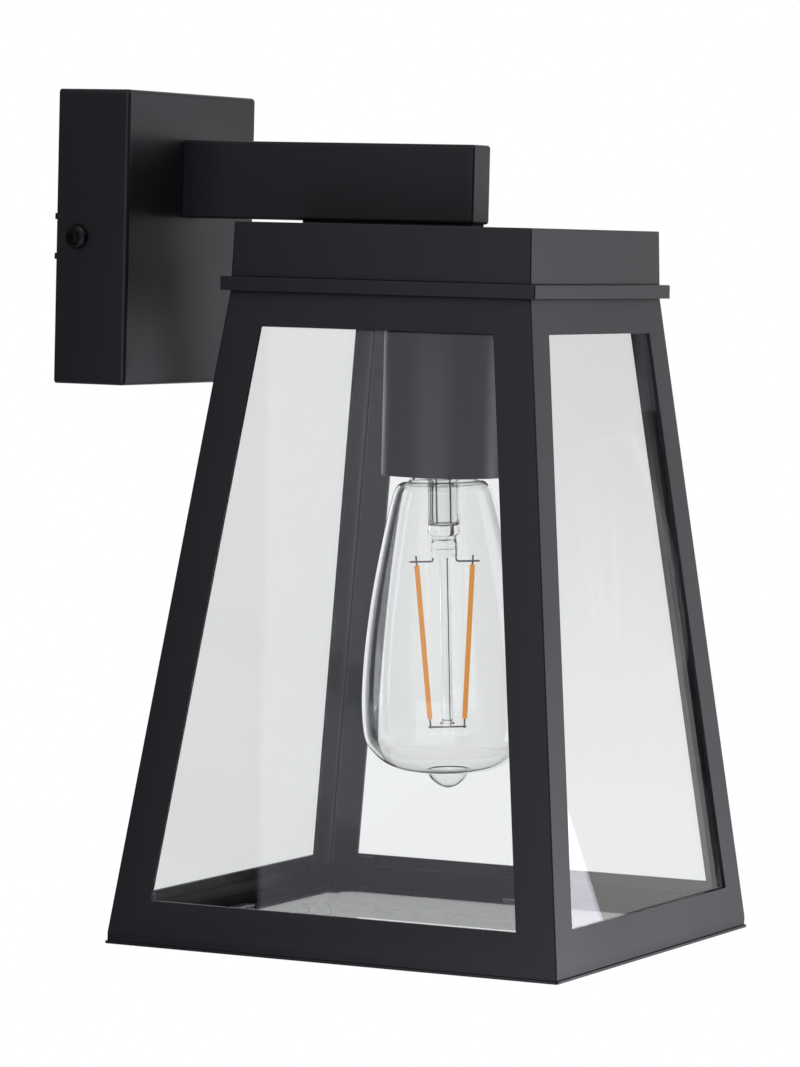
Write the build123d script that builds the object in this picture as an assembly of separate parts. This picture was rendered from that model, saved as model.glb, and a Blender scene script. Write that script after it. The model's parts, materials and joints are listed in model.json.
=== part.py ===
"""Outdoor wall lantern: a tapering four-sided glazed lantern hung from a square-section arm on a
boxed wall plate, with a screw-in filament bulb.

Frame: origin on the wall, at the centre of the wall bracket; +X to the right for someone who faces
the wall, -Y away from the wall, +Z up. All sizes are in millimetres.
"""

import math
import os

from build123d import *

# ---------------------------------------------------------------- wall bracket
BRACKET_LENGTH = 99.4
BRACKET_WIDTH = 17.2
BRACKET_DEPTH = 8.0
BRACKET_SHEET = 2.3
EAR_WIDTH = 11.0
EAR_BEYOND_SCREW = 7.0
SLOT_SPACING = 60.0
SLOT_LENGTH = 14.0
SLOT_WIDTH = 5.0
CABLE_HOLE_RADIUS = 4.5
GROMMET_BORE_RADIUS = 3.2
GROMMET_FLANGE_RADIUS = 6.1
GROMMET_FLANGE_THICKNESS = 1.2
EARTH_SCREW_X = 14.5
TONGUE_WIDTH = 34.0
TONGUE_DROP = 27.0

# ---------------------------------------------------------------- backplate cover
WALL_GAP = 1.8
COVER_WIDTH = 103.0
COVER_HEIGHT = 110.2
COVER_DEPTH = 29.9
COVER_SHEET = 1.5
COVER_EDGE_RADIUS = 1.6
COVER_SCREW_FROM_RIM = 9.16
COVER_SCREW_RADIUS = 2.5
COVER_SCREW_HEAD_RADIUS = 4.7
COVER_SCREW_HEAD_HEIGHT = 2.2
COVER_SCREW_CROWN_RADIUS = 3.0
SEAL_WASHER_RADIUS = 5.0
SEAL_WASHER_THICKNESS = 0.5

# ---------------------------------------------------------------- arm
ARM_CENTRE_Z = 22.7
ARM_WIDTH = 15.0
ARM_HEIGHT = 29.4
ARM_SHEET = 1.5
ARM_EDGE_RADIUS = 1.4
ARM_REACH = 108.5
ARM_OVERHANG = 12.6
ROOT_PLATE_THICKNESS = 8.0
END_PLUG_THICKNESS = 3.0
ARM_SCREW_OFFSET = 9.5
ARM_SCREW_RADIUS = 2.5
ARM_SCREW_HEAD_RADIUS = 4.25
ARM_SCREW_HEAD_HEIGHT = 5.0
BACKING_PLATE_THICKNESS = 3.0
BACKING_PLATE_WIDTH = 34.0
BACKING_PLATE_MARGIN = 8.0
GASKET_THICKNESS = 0.94
GASKET_INSET = 2.0
GASKET_SETBACK = 1.0

# ---------------------------------------------------------------- hollow hanger thread
NIPPLE_RADIUS = 5.0
NIPPLE_BORE_RADIUS = 3.5
BOSS_HEIGHT = 5.0
NUT_ACROSS_FLATS = 14.0
NUT_HEIGHT = 4.5
WASHER_RADIUS = 9.0
WASHER_THICKNESS = 1.5
CLEARANCE_HOLE = 0.2

# ---------------------------------------------------------------- lantern head
SHEET = 1.5
CAP_TOP_HALF = 59.57
CAP_BOTTOM_HALF = 60.16
CAP_HEIGHT = 20.13
TRAY_HALF = 63.16
TRAY_HEIGHT = 5.13
CORNER_RADIUS = 0.7

# ---------------------------------------------------------------- glazed body
BODY_TOP_HALF = 60.3
BODY_BOTTOM_HALF = 90.0
BODY_HEIGHT = 238.96
FOOT_HEIGHT = 3.0
STILE_WIDTH = 15.2
TOP_RAIL = 12.93
BOTTOM_RAIL = 15.72
FRAME_LIP = 12.0
HEAD_SCREW_SPREAD = 60.0
HEAD_SCREW_RADIUS = 1.5
GLASS_THICKNESS = 3.0
GLAZING_BED = 0.25
GLASS_TOP_COVER = 10.6
GLASS_BOTTOM_COVER = 4.6
GLASS_CORNER_GAP = 0.4
CLIP_SHEET = 1.0
CLIP_WIDTH = 9.0
CLIP_LEG = 4.9
CLIP_LIP = 3.9
CLIP_SPREAD = 0.82
TAB_THICKNESS = 2.0
TAB_REACH = 21.0

# ---------------------------------------------------------------- base tray
BASE_SEAT_GAP = 0.1
BASE_SHEET = 1.0
BASE_OVERHANG = 0.7
BASE_CORNER_RADIUS = 1.2
BASE_LEDGE = 13.0
BASE_OPENING_RADIUS = 12.0
BASE_GLASS_LAP = 4.0
BASE_GLASS_CHAMFER = 8.0
BASE_GLASS_THICKNESS = 3.0
BASE_CLIP_SHEET = 0.8
BASE_CLIP_LIP = 3.5
BASE_CLIP_FOOT = 3.6
BASE_CLIP_HALF_WIDTH = 6.0
RIM_HEIGHT = 5.6
RIM_GAP = 0.6
RIM_LENGTH_SHARE = 0.66
BASE_SCREW_INSET = 10.5
BASE_SCREW_RADIUS = 1.5
BASE_SCREW_HEAD_RADIUS = 3.0
BASE_SCREW_HEAD_HEIGHT = 1.4
BASE_SCREW_LENGTH = 6.0
RUNNING_CLEARANCE = 0.06

# ---------------------------------------------------------------- lampholder
CUP_RADIUS = 23.0
CUP_SHEET = 1.0
CUP_TOP_EDGE = 0.8
CUP_DROP = 67.8
SADDLE_RADIUS = 19.0
SADDLE_THICKNESS = 2.0
SADDLE_BOSS_RADIUS = 8.0
SADDLE_BOSS_HEIGHT = 7.0
SADDLE_DROP = 17.8
HOLDER_RADIUS = 20.0
HOLDER_LENGTH = 47.0
CHAMBER_DEPTH = 14.0
CHAMBER_FLOOR = 6.0
CHAMBER_HALF_X = 15.0
CHAMBER_HALF_Y = 8.0
EARTH_POCKET_DEPTH = 7.0
EARTH_POCKET_HALF_X = 4.0
HOLDER_BORE_RADIUS = 14.6
SHELL_INNER_RADIUS = 13.5
SHELL_SHEET = 0.5
SHELL_RIM = 0.8
THREAD_PITCH = 3.629
THREAD_DEPTH = 0.45

# ---------------------------------------------------------------- bulb
BULB_CREST_RADIUS = 13.15
BULB_THREAD_DEPTH = 0.85
BULB_CAP_SHEET = 0.4
BULB_CONTACT_DROP = 46.4
BULB_CAP_LENGTH = 25.6
BULB_SHOULDER_DROP = 3.4
INSULATOR_RADIUS = 9.0
INSULATOR_THICKNESS = 1.2
SOLDER_RADIUS = 2.2
BULB_SKIRT_STEP = 0.35
BULB_NECK_DROP = 26.0
BULB_RADIUS = 31.9
BULB_GLASS = 0.7
BULB_LENGTH = 141.8
BULB_LEAN = 2.4
BULB_TIP_RADIUS = 7.9
BULB_TIP_HEIGHT = 5.8
STEM_TUBE_RADIUS = 5.85
STEM_TUBE_WALL = 1.1
STEM_TUBE_LENGTH = 20.2
PRESS_WIDTH = 10.0
PRESS_THICKNESS = 4.6
PRESS_LENGTH = 9.4
ROD_RADIUS = 2.0
ROD_BEAD_RADIUS = 2.7
ROD_LENGTH = 92.6
FILAMENT_RADIUS = 0.95
FILAMENT_SPREAD_TOP = 10.4
FILAMENT_SPREAD_BOTTOM = 6.5
FILAMENT_DROP = 32.4
FILAMENT_HEIGHT = 57.5
FILAMENT_TURN = -64.6
LEAD_RADIUS = 0.35
LEAD_PIN = 3.6
LEAD_STEP = 1.4
LEAD_BEYOND = 2.7
LEAD_INSET = 0.6
INNER_LEAD_SPREAD = 2.6

# ---------------------------------------------------------------- internal wiring
WIRE_RADIUS = 1.1
WIRE_SPACING = 2.5
WIRE_HOLE_RADIUS = 4.0
WIRE_BEND = 8.2
WIRE_END_BEND = 6.6
BLOCK_WIDTH = 27.0
BLOCK_HEIGHT = 18.0
BLOCK_DEPTH = 13.0
BLOCK_PITCH = 8.5
INSERT_SIZE = 5.4
INSERT_BORE_RADIUS = 1.6
CLAMP_SCREW_RADIUS = 1.3
WIRE_INSERTION = 5.0
HOLDER_POLE_INSET = 5.0

# ---------------------------------------------------------------- places worked out from the sizes
COVER_REAR_Y = -WALL_GAP
COVER_FRONT_Y = -WALL_GAP - COVER_DEPTH
COVER_INNER_Y = COVER_FRONT_Y + COVER_SHEET
COVER_SCREW_Y = -WALL_GAP - COVER_SCREW_FROM_RIM
AXIS_Y = COVER_FRONT_Y - ARM_REACH
ARM_END_Y = AXIS_Y - ARM_OVERHANG
ARM_BOTTOM_Z = ARM_CENTRE_Z - ARM_HEIGHT / 2
ARM_FLOOR_Z = ARM_BOTTOM_Z + ARM_SHEET
ARM_BORE_X = ARM_WIDTH - 2 * ARM_SHEET
ARM_BORE_Z = ARM_HEIGHT - 2 * ARM_SHEET
CAP_TOP_Z = ARM_BOTTOM_Z - GASKET_THICKNESS
TRAY_TOP_Z = CAP_TOP_Z - CAP_HEIGHT
TRAY_UNDER_Z = TRAY_TOP_Z - SHEET
BODY_TOP_Z = TRAY_TOP_Z - TRAY_HEIGHT
BODY_BOTTOM_Z = BODY_TOP_Z - BODY_HEIGHT
FOOT_TOP_Z = BODY_BOTTOM_Z + FOOT_HEIGHT
SLOPE = (BODY_BOTTOM_HALF - BODY_TOP_HALF) / (BODY_TOP_Z - FOOT_TOP_Z)
SLANT = math.sqrt(1 + SLOPE**2)
LIP_UNDER_Z = TRAY_UNDER_Z - SHEET
BASE_TOP_Z = BODY_BOTTOM_Z - BASE_SEAT_GAP
BASE_UNDER_Z = BASE_TOP_Z - BASE_SHEET
CUP_TOP_Z = TRAY_UNDER_Z
CUP_BOTTOM_Z = BODY_TOP_Z - CUP_DROP
SADDLE_TOP_Z = BODY_TOP_Z - SADDLE_DROP + SADDLE_THICKNESS
SADDLE_UNDER_Z = SADDLE_TOP_Z - SADDLE_THICKNESS
HOLDER_BOTTOM_Z = SADDLE_UNDER_Z - HOLDER_LENGTH
CHAMBER_FLOOR_Z = SADDLE_UNDER_Z - CHAMBER_DEPTH
SOCKET_TOP_Z = CHAMBER_FLOOR_Z - CHAMBER_FLOOR
NIPPLE_TOP_Z = ARM_FLOOR_Z + BOSS_HEIGHT
CONTACT_TOP_Z = CUP_TOP_Z - BULB_CONTACT_DROP
FAR = 1000.0


# ---------------------------------------------------------------- shape helpers
def block(x, y, z):
    """Box between three (low, high) pairs."""
    middle = [sum(pair) / 2 for pair in (x, y, z)]
    return Pos(*middle) * Box(x[1] - x[0], y[1] - y[0], z[1] - z[0])


def rod(radius, start, end):
    """Round bar between two points."""
    run = Vector(*end) - Vector(*start)
    bar = Cylinder(radius, run.length, align=(Align.CENTER, Align.CENTER, Align.MIN))
    return Plane(origin=start, z_dir=run).location * bar


def lathe(outline):
    """Solid of revolution about Z from a closed (radius, z) outline."""
    return revolve(make_face(Plane.XZ * Polyline(*outline, close=True)), Axis.Z)


def prism_x(outline, low, high):
    """Closed (y, z) outline drawn out from x = low to x = high."""
    face = make_face(Plane.YZ * Polyline(*outline, close=True))
    return Pos(low, 0, 0) * extrude(face, high - low, dir=(1, 0, 0))


def prism_y(outline, low, high):
    """Closed (x, z) outline drawn out from y = low to y = high."""
    face = make_face(Plane.XZ * Polyline(*outline, close=True))
    return Pos(0, low, 0) * extrude(face, high - low, dir=(0, 1, 0))


def four_sided(outline):
    """Upright square form from (half_width, z) points listed from top to bottom."""
    ring = [(half, z) for half, z in outline] + [(-half, z) for half, z in reversed(outline)]
    return prism_x(ring, -FAR, FAR) & prism_y(ring, -FAR, FAR)


def on_axis(shape):
    """Move a shape drawn about the Z axis onto the lantern's own axis."""
    return Pos(0, AXIS_Y, 0) * shape


def corner_edges(shape):
    """Edges that run down the four corners of an upright square form."""
    chosen = []
    for edge in shape.edges():
        ends = [edge @ 0, edge @ 1]
        on_corner = all(abs(abs(end.X) - abs(end.Y)) < 1e-4 for end in ends)
        if on_corner and abs(ends[0].Z - ends[1].Z) > 1e-3:
            chosen.append(edge)
    return chosen


def edges_at_z(shape, z):
    """Edges that lie whole in the level plane at this height."""
    return [e for e in shape.edges() if abs((e @ 0).Z - z) < 1e-4 and abs((e @ 1).Z - z) < 1e-4]


def hexagon(across_flats, height):
    """Hexagonal prism that stands on the XY plane."""
    return extrude(RegularPolygon(across_flats / math.sqrt(3), 6), height)


def screw(radius, length, head_radius, head_height, socket, crown_radius=None):
    """Screw along Z: the head stands above z = 0, the shank hangs below, with a hexagon socket."""
    crown = crown_radius or head_radius * 0.92
    head = lathe([(0, 0), (head_radius, 0), (head_radius, head_height * 0.25),
                  (crown, head_height), (0, head_height)])
    shank = rod(radius, (0, 0, -length), (0, 0, 0))
    recess = Pos(0, 0, head_height * 0.4) * hexagon(socket, head_height)
    return head + shank - recess


def place(shape, origin, direction):
    """Put a shape drawn along +Z at a point, along a direction."""
    return Plane(origin=origin, z_dir=direction).location * shape


def save(name, *solids):
    """Write one named sub-part, as a group where it has several loose solids."""
    shape = solids[0] if len(solids) == 1 else Compound(children=list(solids))
    export_step(shape, f"parts/{name}.step")


# ---------------------------------------------------------------- wall plate
def wall_bracket():
    """Channel strap with its edges to the wall, an ear at each end and a tongue for the terminals."""
    half, wide, sheet = BRACKET_LENGTH / 2, BRACKET_WIDTH / 2, BRACKET_SHEET
    web_y = (-BRACKET_DEPTH, sheet - BRACKET_DEPTH)
    ear_y = (COVER_SCREW_Y - EAR_BEYOND_SCREW, web_y[1])
    tongue_half = TONGUE_WIDTH / 2
    strap = block((-half, half), web_y, (-wide, wide))
    strap += block((-half, half), (web_y[1], 0), (wide - sheet, wide))
    strap += block((-tongue_half, tongue_half), web_y, (-wide - TONGUE_DROP, -wide))
    for side in (-1, 1):
        near, far = sorted((side * (tongue_half + sheet), side * half))
        strap += block((near, far), (web_y[1], 0), (-wide, sheet - wide))
        near, far = sorted((side * (half - sheet), side * half))
        strap += block((near, far), ear_y, (-EAR_WIDTH / 2, EAR_WIDTH / 2))
        strap -= rod(COVER_SCREW_RADIUS, (side * FAR, COVER_SCREW_Y, 0), (side * 10, COVER_SCREW_Y, 0))
        slot = extrude(Rot(0, 0, 90) * SlotOverall(SLOT_LENGTH, SLOT_WIDTH), FAR, both=True)
        strap -= place(slot, (side * SLOT_SPACING / 2, 0, 0), (0, 1, 0))
    strap -= rod(CABLE_HOLE_RADIUS, (0, -FAR, 0), (0, FAR, 0))
    strap -= rod(2.0, (EARTH_SCREW_X, -FAR, 0), (EARTH_SCREW_X, FAR, 0))
    strap -= rod(1.5, (0, -FAR, block_centre_z()), (0, FAR, block_centre_z()))
    return strap


def cable_grommet():
    """Rubber bush that lines the cable hole of the bracket."""
    thick = GROMMET_FLANGE_THICKNESS
    front = -BRACKET_DEPTH - thick
    rear = BRACKET_SHEET - BRACKET_DEPTH + thick
    bush = rod(CABLE_HOLE_RADIUS, (0, front, 0), (0, rear, 0))
    bush += rod(GROMMET_FLANGE_RADIUS, (0, front, 0), (0, front + thick, 0))
    bush += rod(GROMMET_FLANGE_RADIUS, (0, rear - thick, 0), (0, rear, 0))
    return bush - rod(GROMMET_BORE_RADIUS, (0, -FAR, 0), (0, FAR, 0))


def backplate_cover():
    """Pressed box, open to the wall, with holes for its two side screws, the arm screws and wires."""
    wide, tall, sheet = COVER_WIDTH / 2, COVER_HEIGHT / 2, COVER_SHEET
    shell = block((-wide, wide), (COVER_FRONT_Y, COVER_REAR_Y), (-tall, tall))
    outside = [e for e in shell.edges() if min((e @ 0).Y, (e @ 1).Y) < COVER_REAR_Y - 0.01]
    shell = fillet(outside, COVER_EDGE_RADIUS)
    shell -= block((sheet - wide, wide - sheet), (COVER_INNER_Y, FAR), (sheet - tall, tall - sheet))
    hole = COVER_SCREW_RADIUS + CLEARANCE_HOLE
    shell -= rod(hole, (-FAR, COVER_SCREW_Y, 0), (FAR, COVER_SCREW_Y, 0))
    return shell - arm_holes(ARM_SCREW_RADIUS + CLEARANCE_HOLE, COVER_INNER_Y + 1)


def arm_holes(screw_radius, inner_y):
    """Cutters along Y for the two arm screws and the wires."""
    cutters = rod(WIRE_HOLE_RADIUS, (0, -FAR, ARM_CENTRE_Z), (0, inner_y, ARM_CENTRE_Z))
    for side in (-1, 1):
        z = ARM_CENTRE_Z + side * ARM_SCREW_OFFSET
        cutters += rod(screw_radius, (0, -FAR, z), (0, inner_y, z))
    return cutters


def cover_screws():
    """Two button-head screws, one through each side of the cover into the bracket's ears."""
    head_x = COVER_WIDTH / 2 + SEAL_WASHER_THICKNESS
    length = head_x - BRACKET_LENGTH / 2 + BRACKET_SHEET + 3
    body = screw(COVER_SCREW_RADIUS, length, COVER_SCREW_HEAD_RADIUS, COVER_SCREW_HEAD_HEIGHT, 3.0,
                 COVER_SCREW_CROWN_RADIUS)
    return [place(body, (side * head_x, COVER_SCREW_Y, 0), (side, 0, 0)) for side in (-1, 1)]


def cover_seal_washers():
    """Thin rubber washers under the two cover screws."""
    washers = []
    for side in (-1, 1):
        inner, outer = side * COVER_WIDTH / 2, side * (COVER_WIDTH / 2 + SEAL_WASHER_THICKNESS)
        ring = rod(SEAL_WASHER_RADIUS, (inner, COVER_SCREW_Y, 0), (outer, COVER_SCREW_Y, 0))
        ring -= rod(COVER_SCREW_RADIUS, (-FAR, COVER_SCREW_Y, 0), (FAR, COVER_SCREW_Y, 0))
        washers.append(ring)
    return washers


def earth_screw():
    """Earth screw with its cup washer, threaded into the bracket."""
    front = -BRACKET_DEPTH
    body = screw(2.0, BRACKET_SHEET + 3, 3.5, 2.4, 2.5)
    return place(body, (EARTH_SCREW_X, front - 0.8, 0), (0, -1, 0)), rod(
        4.2, (EARTH_SCREW_X, front - 0.8, 0), (EARTH_SCREW_X, front, 0)
    ) - rod(2.0, (EARTH_SCREW_X, -FAR, 0), (EARTH_SCREW_X, FAR, 0))


# ---------------------------------------------------------------- terminal block
def block_top_z():
    """Height of the terminal block's upper face."""
    return -BRACKET_WIDTH / 2 - (TONGUE_DROP - BLOCK_HEIGHT) / 2


def block_centre_z():
    """Height of the terminal block's middle."""
    return block_top_z() - BLOCK_HEIGHT / 2


def block_line_y():
    """Distance of the three terminal barrels from the wall."""
    return -BRACKET_DEPTH - BLOCK_DEPTH * 0.55


def pole_places():
    """The three poles' places along X."""
    return [pole * BLOCK_PITCH for pole in (-1, 0, 1)]


def terminal_block():
    """Moulded three-pole block on the bracket's tongue."""
    top, rear = block_top_z(), -BRACKET_DEPTH
    half_width = BLOCK_WIDTH / 2
    body = block((-half_width, half_width), (rear - BLOCK_DEPTH, rear), (top - BLOCK_HEIGHT, top))
    for x in pole_places():
        barrel = block_line_y()
        half = INSERT_SIZE / 2
        body -= block((x - half, x + half), (barrel - half, barrel + half), (-FAR, FAR))
        for z in clamp_heights():
            body -= rod(CLAMP_SCREW_RADIUS + 0.4, (x, -FAR, z), (x, barrel, z))
    body -= rod(1.5, (0, rear - 2, block_centre_z()), (0, FAR, block_centre_z()))
    return body


def clamp_heights():
    """Heights of the upper and lower clamp screws of each pole."""
    return [block_centre_z() + side * BLOCK_HEIGHT * 0.3 for side in (-1, 1)]


def terminal_inserts():
    """Three brass barrels, each with a through bore and two clamp threads."""
    inserts = []
    half, y = INSERT_SIZE / 2, block_line_y()
    for x in pole_places():
        height = (block_centre_z() - BLOCK_HEIGHT * 0.44, block_centre_z() + BLOCK_HEIGHT * 0.44)
        barrel = block((x - half, x + half), (y - half, y + half), height)
        barrel -= rod(INSERT_BORE_RADIUS, (x, y, -FAR), (x, y, FAR))
        for z in clamp_heights():
            barrel -= rod(CLAMP_SCREW_RADIUS, (x, -FAR, z), (x, y, z))
        inserts.append(barrel)
    return inserts


def clamp_screws():
    """Six slotted clamp screws of the terminal block."""
    screws = []
    tip_y, head_y = block_line_y() - INSERT_BORE_RADIUS, -BRACKET_DEPTH - BLOCK_DEPTH + 1
    for x in pole_places():
        for z in clamp_heights():
            body = rod(CLAMP_SCREW_RADIUS, (x, tip_y, z), (x, head_y, z))
            slot = block((x - FAR, x + FAR), (head_y - 1, head_y + 0.8), (z - 0.3, z + 0.3))
            screws.append(body - slot)
    return screws


def terminal_fixing_screw():
    """Screw from behind the tongue into the terminal block."""
    body = screw(1.5, BRACKET_SHEET + 1.9, 2.6, 1.6, 2.0)
    return place(body, (0, BRACKET_SHEET - BRACKET_DEPTH, block_centre_z()), (0, 1, 0))


# ---------------------------------------------------------------- arm
def arm_tube():
    """Rectangular tube from the cover to its open end, with a hole for the hanger in its floor."""
    wide, low = ARM_WIDTH / 2, ARM_BOTTOM_Z
    high = low + ARM_HEIGHT
    seam_y = ARM_END_Y + END_PLUG_THICKNESS
    tube = block((-wide, wide), (seam_y, COVER_FRONT_Y), (low, high))
    tube = fillet(tube.edges().filter_by(Axis.Y), ARM_EDGE_RADIUS)
    tube -= block((-ARM_BORE_X / 2, ARM_BORE_X / 2), (-FAR, FAR), (low + ARM_SHEET, high - ARM_SHEET))
    return tube - rod(NIPPLE_RADIUS + CLEARANCE_HOLE, (0, AXIS_Y, low - 1), (0, AXIS_Y, ARM_FLOOR_Z))


def arm_end_plug():
    """End plate welded over the tube, rounded like it."""
    wide, low = ARM_WIDTH / 2, ARM_BOTTOM_Z
    seam_y = ARM_END_Y + END_PLUG_THICKNESS
    plate = block((-wide, wide), (ARM_END_Y, seam_y), (low, low + ARM_HEIGHT))
    plate = fillet(plate.edges().filter_by(Axis.Y), ARM_EDGE_RADIUS)
    face = plate.faces().sort_by(Axis.Y)[0]
    return fillet(face.edges(), ARM_EDGE_RADIUS * 0.8)


def arm_root_plate():
    """Thick plate welded into the wall end of the tube, tapped for the two arm screws."""
    half, tall = ARM_BORE_X / 2, ARM_BORE_Z / 2
    plate = block((-half, half), (COVER_FRONT_Y - ROOT_PLATE_THICKNESS, COVER_FRONT_Y),
                  (ARM_CENTRE_Z - tall, ARM_CENTRE_Z + tall))
    return plate - arm_holes(ARM_SCREW_RADIUS, 0)


def arm_backing_plate():
    """Stiffening plate inside the cover, behind the arm."""
    half, tall = BACKING_PLATE_WIDTH / 2, ARM_HEIGHT / 2 + BACKING_PLATE_MARGIN
    low, high = ARM_CENTRE_Z - tall, ARM_CENTRE_Z + tall
    high = min(high, COVER_HEIGHT / 2 - COVER_SHEET - 1)
    plate = block((-half, half), (COVER_INNER_Y, COVER_INNER_Y + BACKING_PLATE_THICKNESS), (low, high))
    return plate - arm_holes(ARM_SCREW_RADIUS + CLEARANCE_HOLE, 0)


def arm_screws():
    """Two socket-head screws that draw the arm onto the cover, each on a flat washer."""
    screws, washers = [], []
    seat = COVER_INNER_Y + BACKING_PLATE_THICKNESS
    length = 1.0 + BACKING_PLATE_THICKNESS + COVER_SHEET + ROOT_PLATE_THICKNESS - 0.5
    for side in (-1, 1):
        z = ARM_CENTRE_Z + side * ARM_SCREW_OFFSET
        body = screw(ARM_SCREW_RADIUS, length, ARM_SCREW_HEAD_RADIUS, ARM_SCREW_HEAD_HEIGHT, 4.0)
        screws.append(place(body, (0, seat + 1.0, z), (0, 1, 0)))
        ring = rod(ARM_SCREW_HEAD_RADIUS + 0.4, (0, seat, z), (0, seat + 1.0, z))
        washers.append(ring - rod(ARM_SCREW_RADIUS, (0, -FAR, z), (0, FAR, z)))
    return screws, washers


def arm_gasket():
    """Flat rubber strip between the arm and the lantern's cap."""
    half = ARM_WIDTH / 2 - GASKET_INSET
    rear_y = AXIS_Y + CAP_TOP_HALF - GASKET_SETBACK
    strip = block((-half, half), (ARM_END_Y + ARM_EDGE_RADIUS, rear_y), (CAP_TOP_Z, ARM_BOTTOM_Z))
    return strip - rod(NIPPLE_RADIUS + CLEARANCE_HOLE, (0, AXIS_Y, -FAR), (0, AXIS_Y, FAR))


# ---------------------------------------------------------------- hanger
def nipple_boss():
    """Threaded bush welded on the floor of the arm."""
    bush = Pos(0, 0, ARM_FLOOR_Z) * extrude(Rectangle(ARM_BORE_X - 0.2, ARM_BORE_X + 4), BOSS_HEIGHT)
    return on_axis(bush - rod(NIPPLE_RADIUS, (0, 0, -FAR), (0, 0, FAR)))


def hanger_nipple():
    """Hollow threaded rod that carries the head and lets the wires through."""
    tube = rod(NIPPLE_RADIUS, (0, 0, SADDLE_TOP_Z), (0, 0, NIPPLE_TOP_Z))
    return on_axis(tube - rod(NIPPLE_BORE_RADIUS, (0, 0, -FAR), (0, 0, FAR)))


def nipple_washer():
    """Plain washer under the hanger's nut."""
    top = CUP_TOP_Z - CUP_SHEET
    ring = rod(WASHER_RADIUS, (0, 0, top - WASHER_THICKNESS), (0, 0, top))
    return on_axis(ring - rod(NIPPLE_RADIUS, (0, 0, -FAR), (0, 0, FAR)))


def nipple_nut():
    """Nut that clamps cup, tray and cap up against the arm."""
    top = CUP_TOP_Z - CUP_SHEET - WASHER_THICKNESS
    nut = Pos(0, 0, top - NUT_HEIGHT) * hexagon(NUT_ACROSS_FLATS, NUT_HEIGHT)
    return on_axis(nut - rod(NIPPLE_RADIUS, (0, 0, -FAR), (0, 0, FAR)))


# ---------------------------------------------------------------- head
def cap_shell():
    """Slightly flared square cap, folded from sheet and open below."""
    draft = (CAP_BOTTOM_HALF - CAP_TOP_HALF) / CAP_HEIGHT
    outer = four_sided([(CAP_TOP_HALF, CAP_TOP_Z), (CAP_BOTTOM_HALF, TRAY_TOP_Z)])
    outer = fillet(corner_edges(outer), CORNER_RADIUS)
    outer = fillet(edges_at_z(outer, CAP_TOP_Z), CORNER_RADIUS * 0.7)
    inner_top = CAP_TOP_Z - SHEET
    inner = four_sided([(CAP_TOP_HALF + draft * SHEET - SHEET, inner_top),
                        (CAP_BOTTOM_HALF + draft - SHEET, TRAY_TOP_Z - 1)])
    hole = rod(NIPPLE_RADIUS + CLEARANCE_HOLE, (0, 0, -FAR), (0, 0, FAR))
    return on_axis(outer - inner - hole)


def head_screw_places():
    """Places of the screws between tray and frames, about the lantern's axis."""
    reach = half_inside(TRAY_UNDER_Z) - FRAME_LIP * 0.5
    spread = HEAD_SCREW_SPREAD / 2
    return [(reach, -spread), (reach, spread), (-reach, -spread), (-reach, spread),
            (-spread, reach), (spread, reach), (-spread, -reach), (spread, -reach)]


def top_tray():
    """Square plate with a turned-down rim that shows as a band round the head."""
    outer = four_sided([(TRAY_HALF, TRAY_TOP_Z), (TRAY_HALF, BODY_TOP_Z)])
    outer = fillet(corner_edges(outer), CORNER_RADIUS)
    outer = fillet(edges_at_z(outer, TRAY_TOP_Z), CORNER_RADIUS * 0.7)
    outer -= four_sided([(TRAY_HALF - SHEET, TRAY_UNDER_Z), (TRAY_HALF - SHEET, BODY_TOP_Z - 1)])
    outer -= rod(NIPPLE_RADIUS + CLEARANCE_HOLE, (0, 0, -FAR), (0, 0, FAR))
    for x, y in head_screw_places():
        outer -= rod(HEAD_SCREW_RADIUS + CLEARANCE_HOLE, (x, y, -FAR), (x, y, FAR))
    return on_axis(outer)


def head_screws():
    """Screws from inside the cap down into the lips of the frames."""
    body = screw(HEAD_SCREW_RADIUS, 2 * SHEET + 2, 2.8, 1.8, 2.0)
    return [on_axis(Pos(x, y, TRAY_TOP_Z) * body) for x, y in head_screw_places()]


# ---------------------------------------------------------------- glazed body
def half_outside(z):
    """Half width of the body's outer face at a height above the foot."""
    return BODY_TOP_HALF + (BODY_TOP_Z - z) * SLOPE


def half_inside(z):
    """Half width of the frames' inner face at a height above the foot."""
    return half_outside(z) - SHEET * SLANT


def pane_outside(z):
    """Half width of the panes' outer face."""
    return half_inside(z) - GLAZING_BED * SLANT


def pane_inside(z):
    """Half width of the panes' inner face."""
    return pane_outside(z) - GLASS_THICKNESS * SLANT


def window():
    """Window of one frame, cut through the -Y side."""
    top, bottom = BODY_TOP_Z - TOP_RAIL, BODY_BOTTOM_Z + BOTTOM_RAIL
    wide_top, wide_bottom = half_outside(top) - STILE_WIDTH, half_outside(bottom) - STILE_WIDTH
    outline = [(-wide_top, top), (wide_top, top), (wide_bottom, bottom), (-wide_bottom, bottom)]
    return prism_y(outline, -FAR, -10)


def rounded_level(half, z):
    """Level square section of the body with its corners rounded."""
    return Pos(0, 0, z) * RectangleRounded(2 * half, 2 * half, CORNER_RADIUS)


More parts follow.
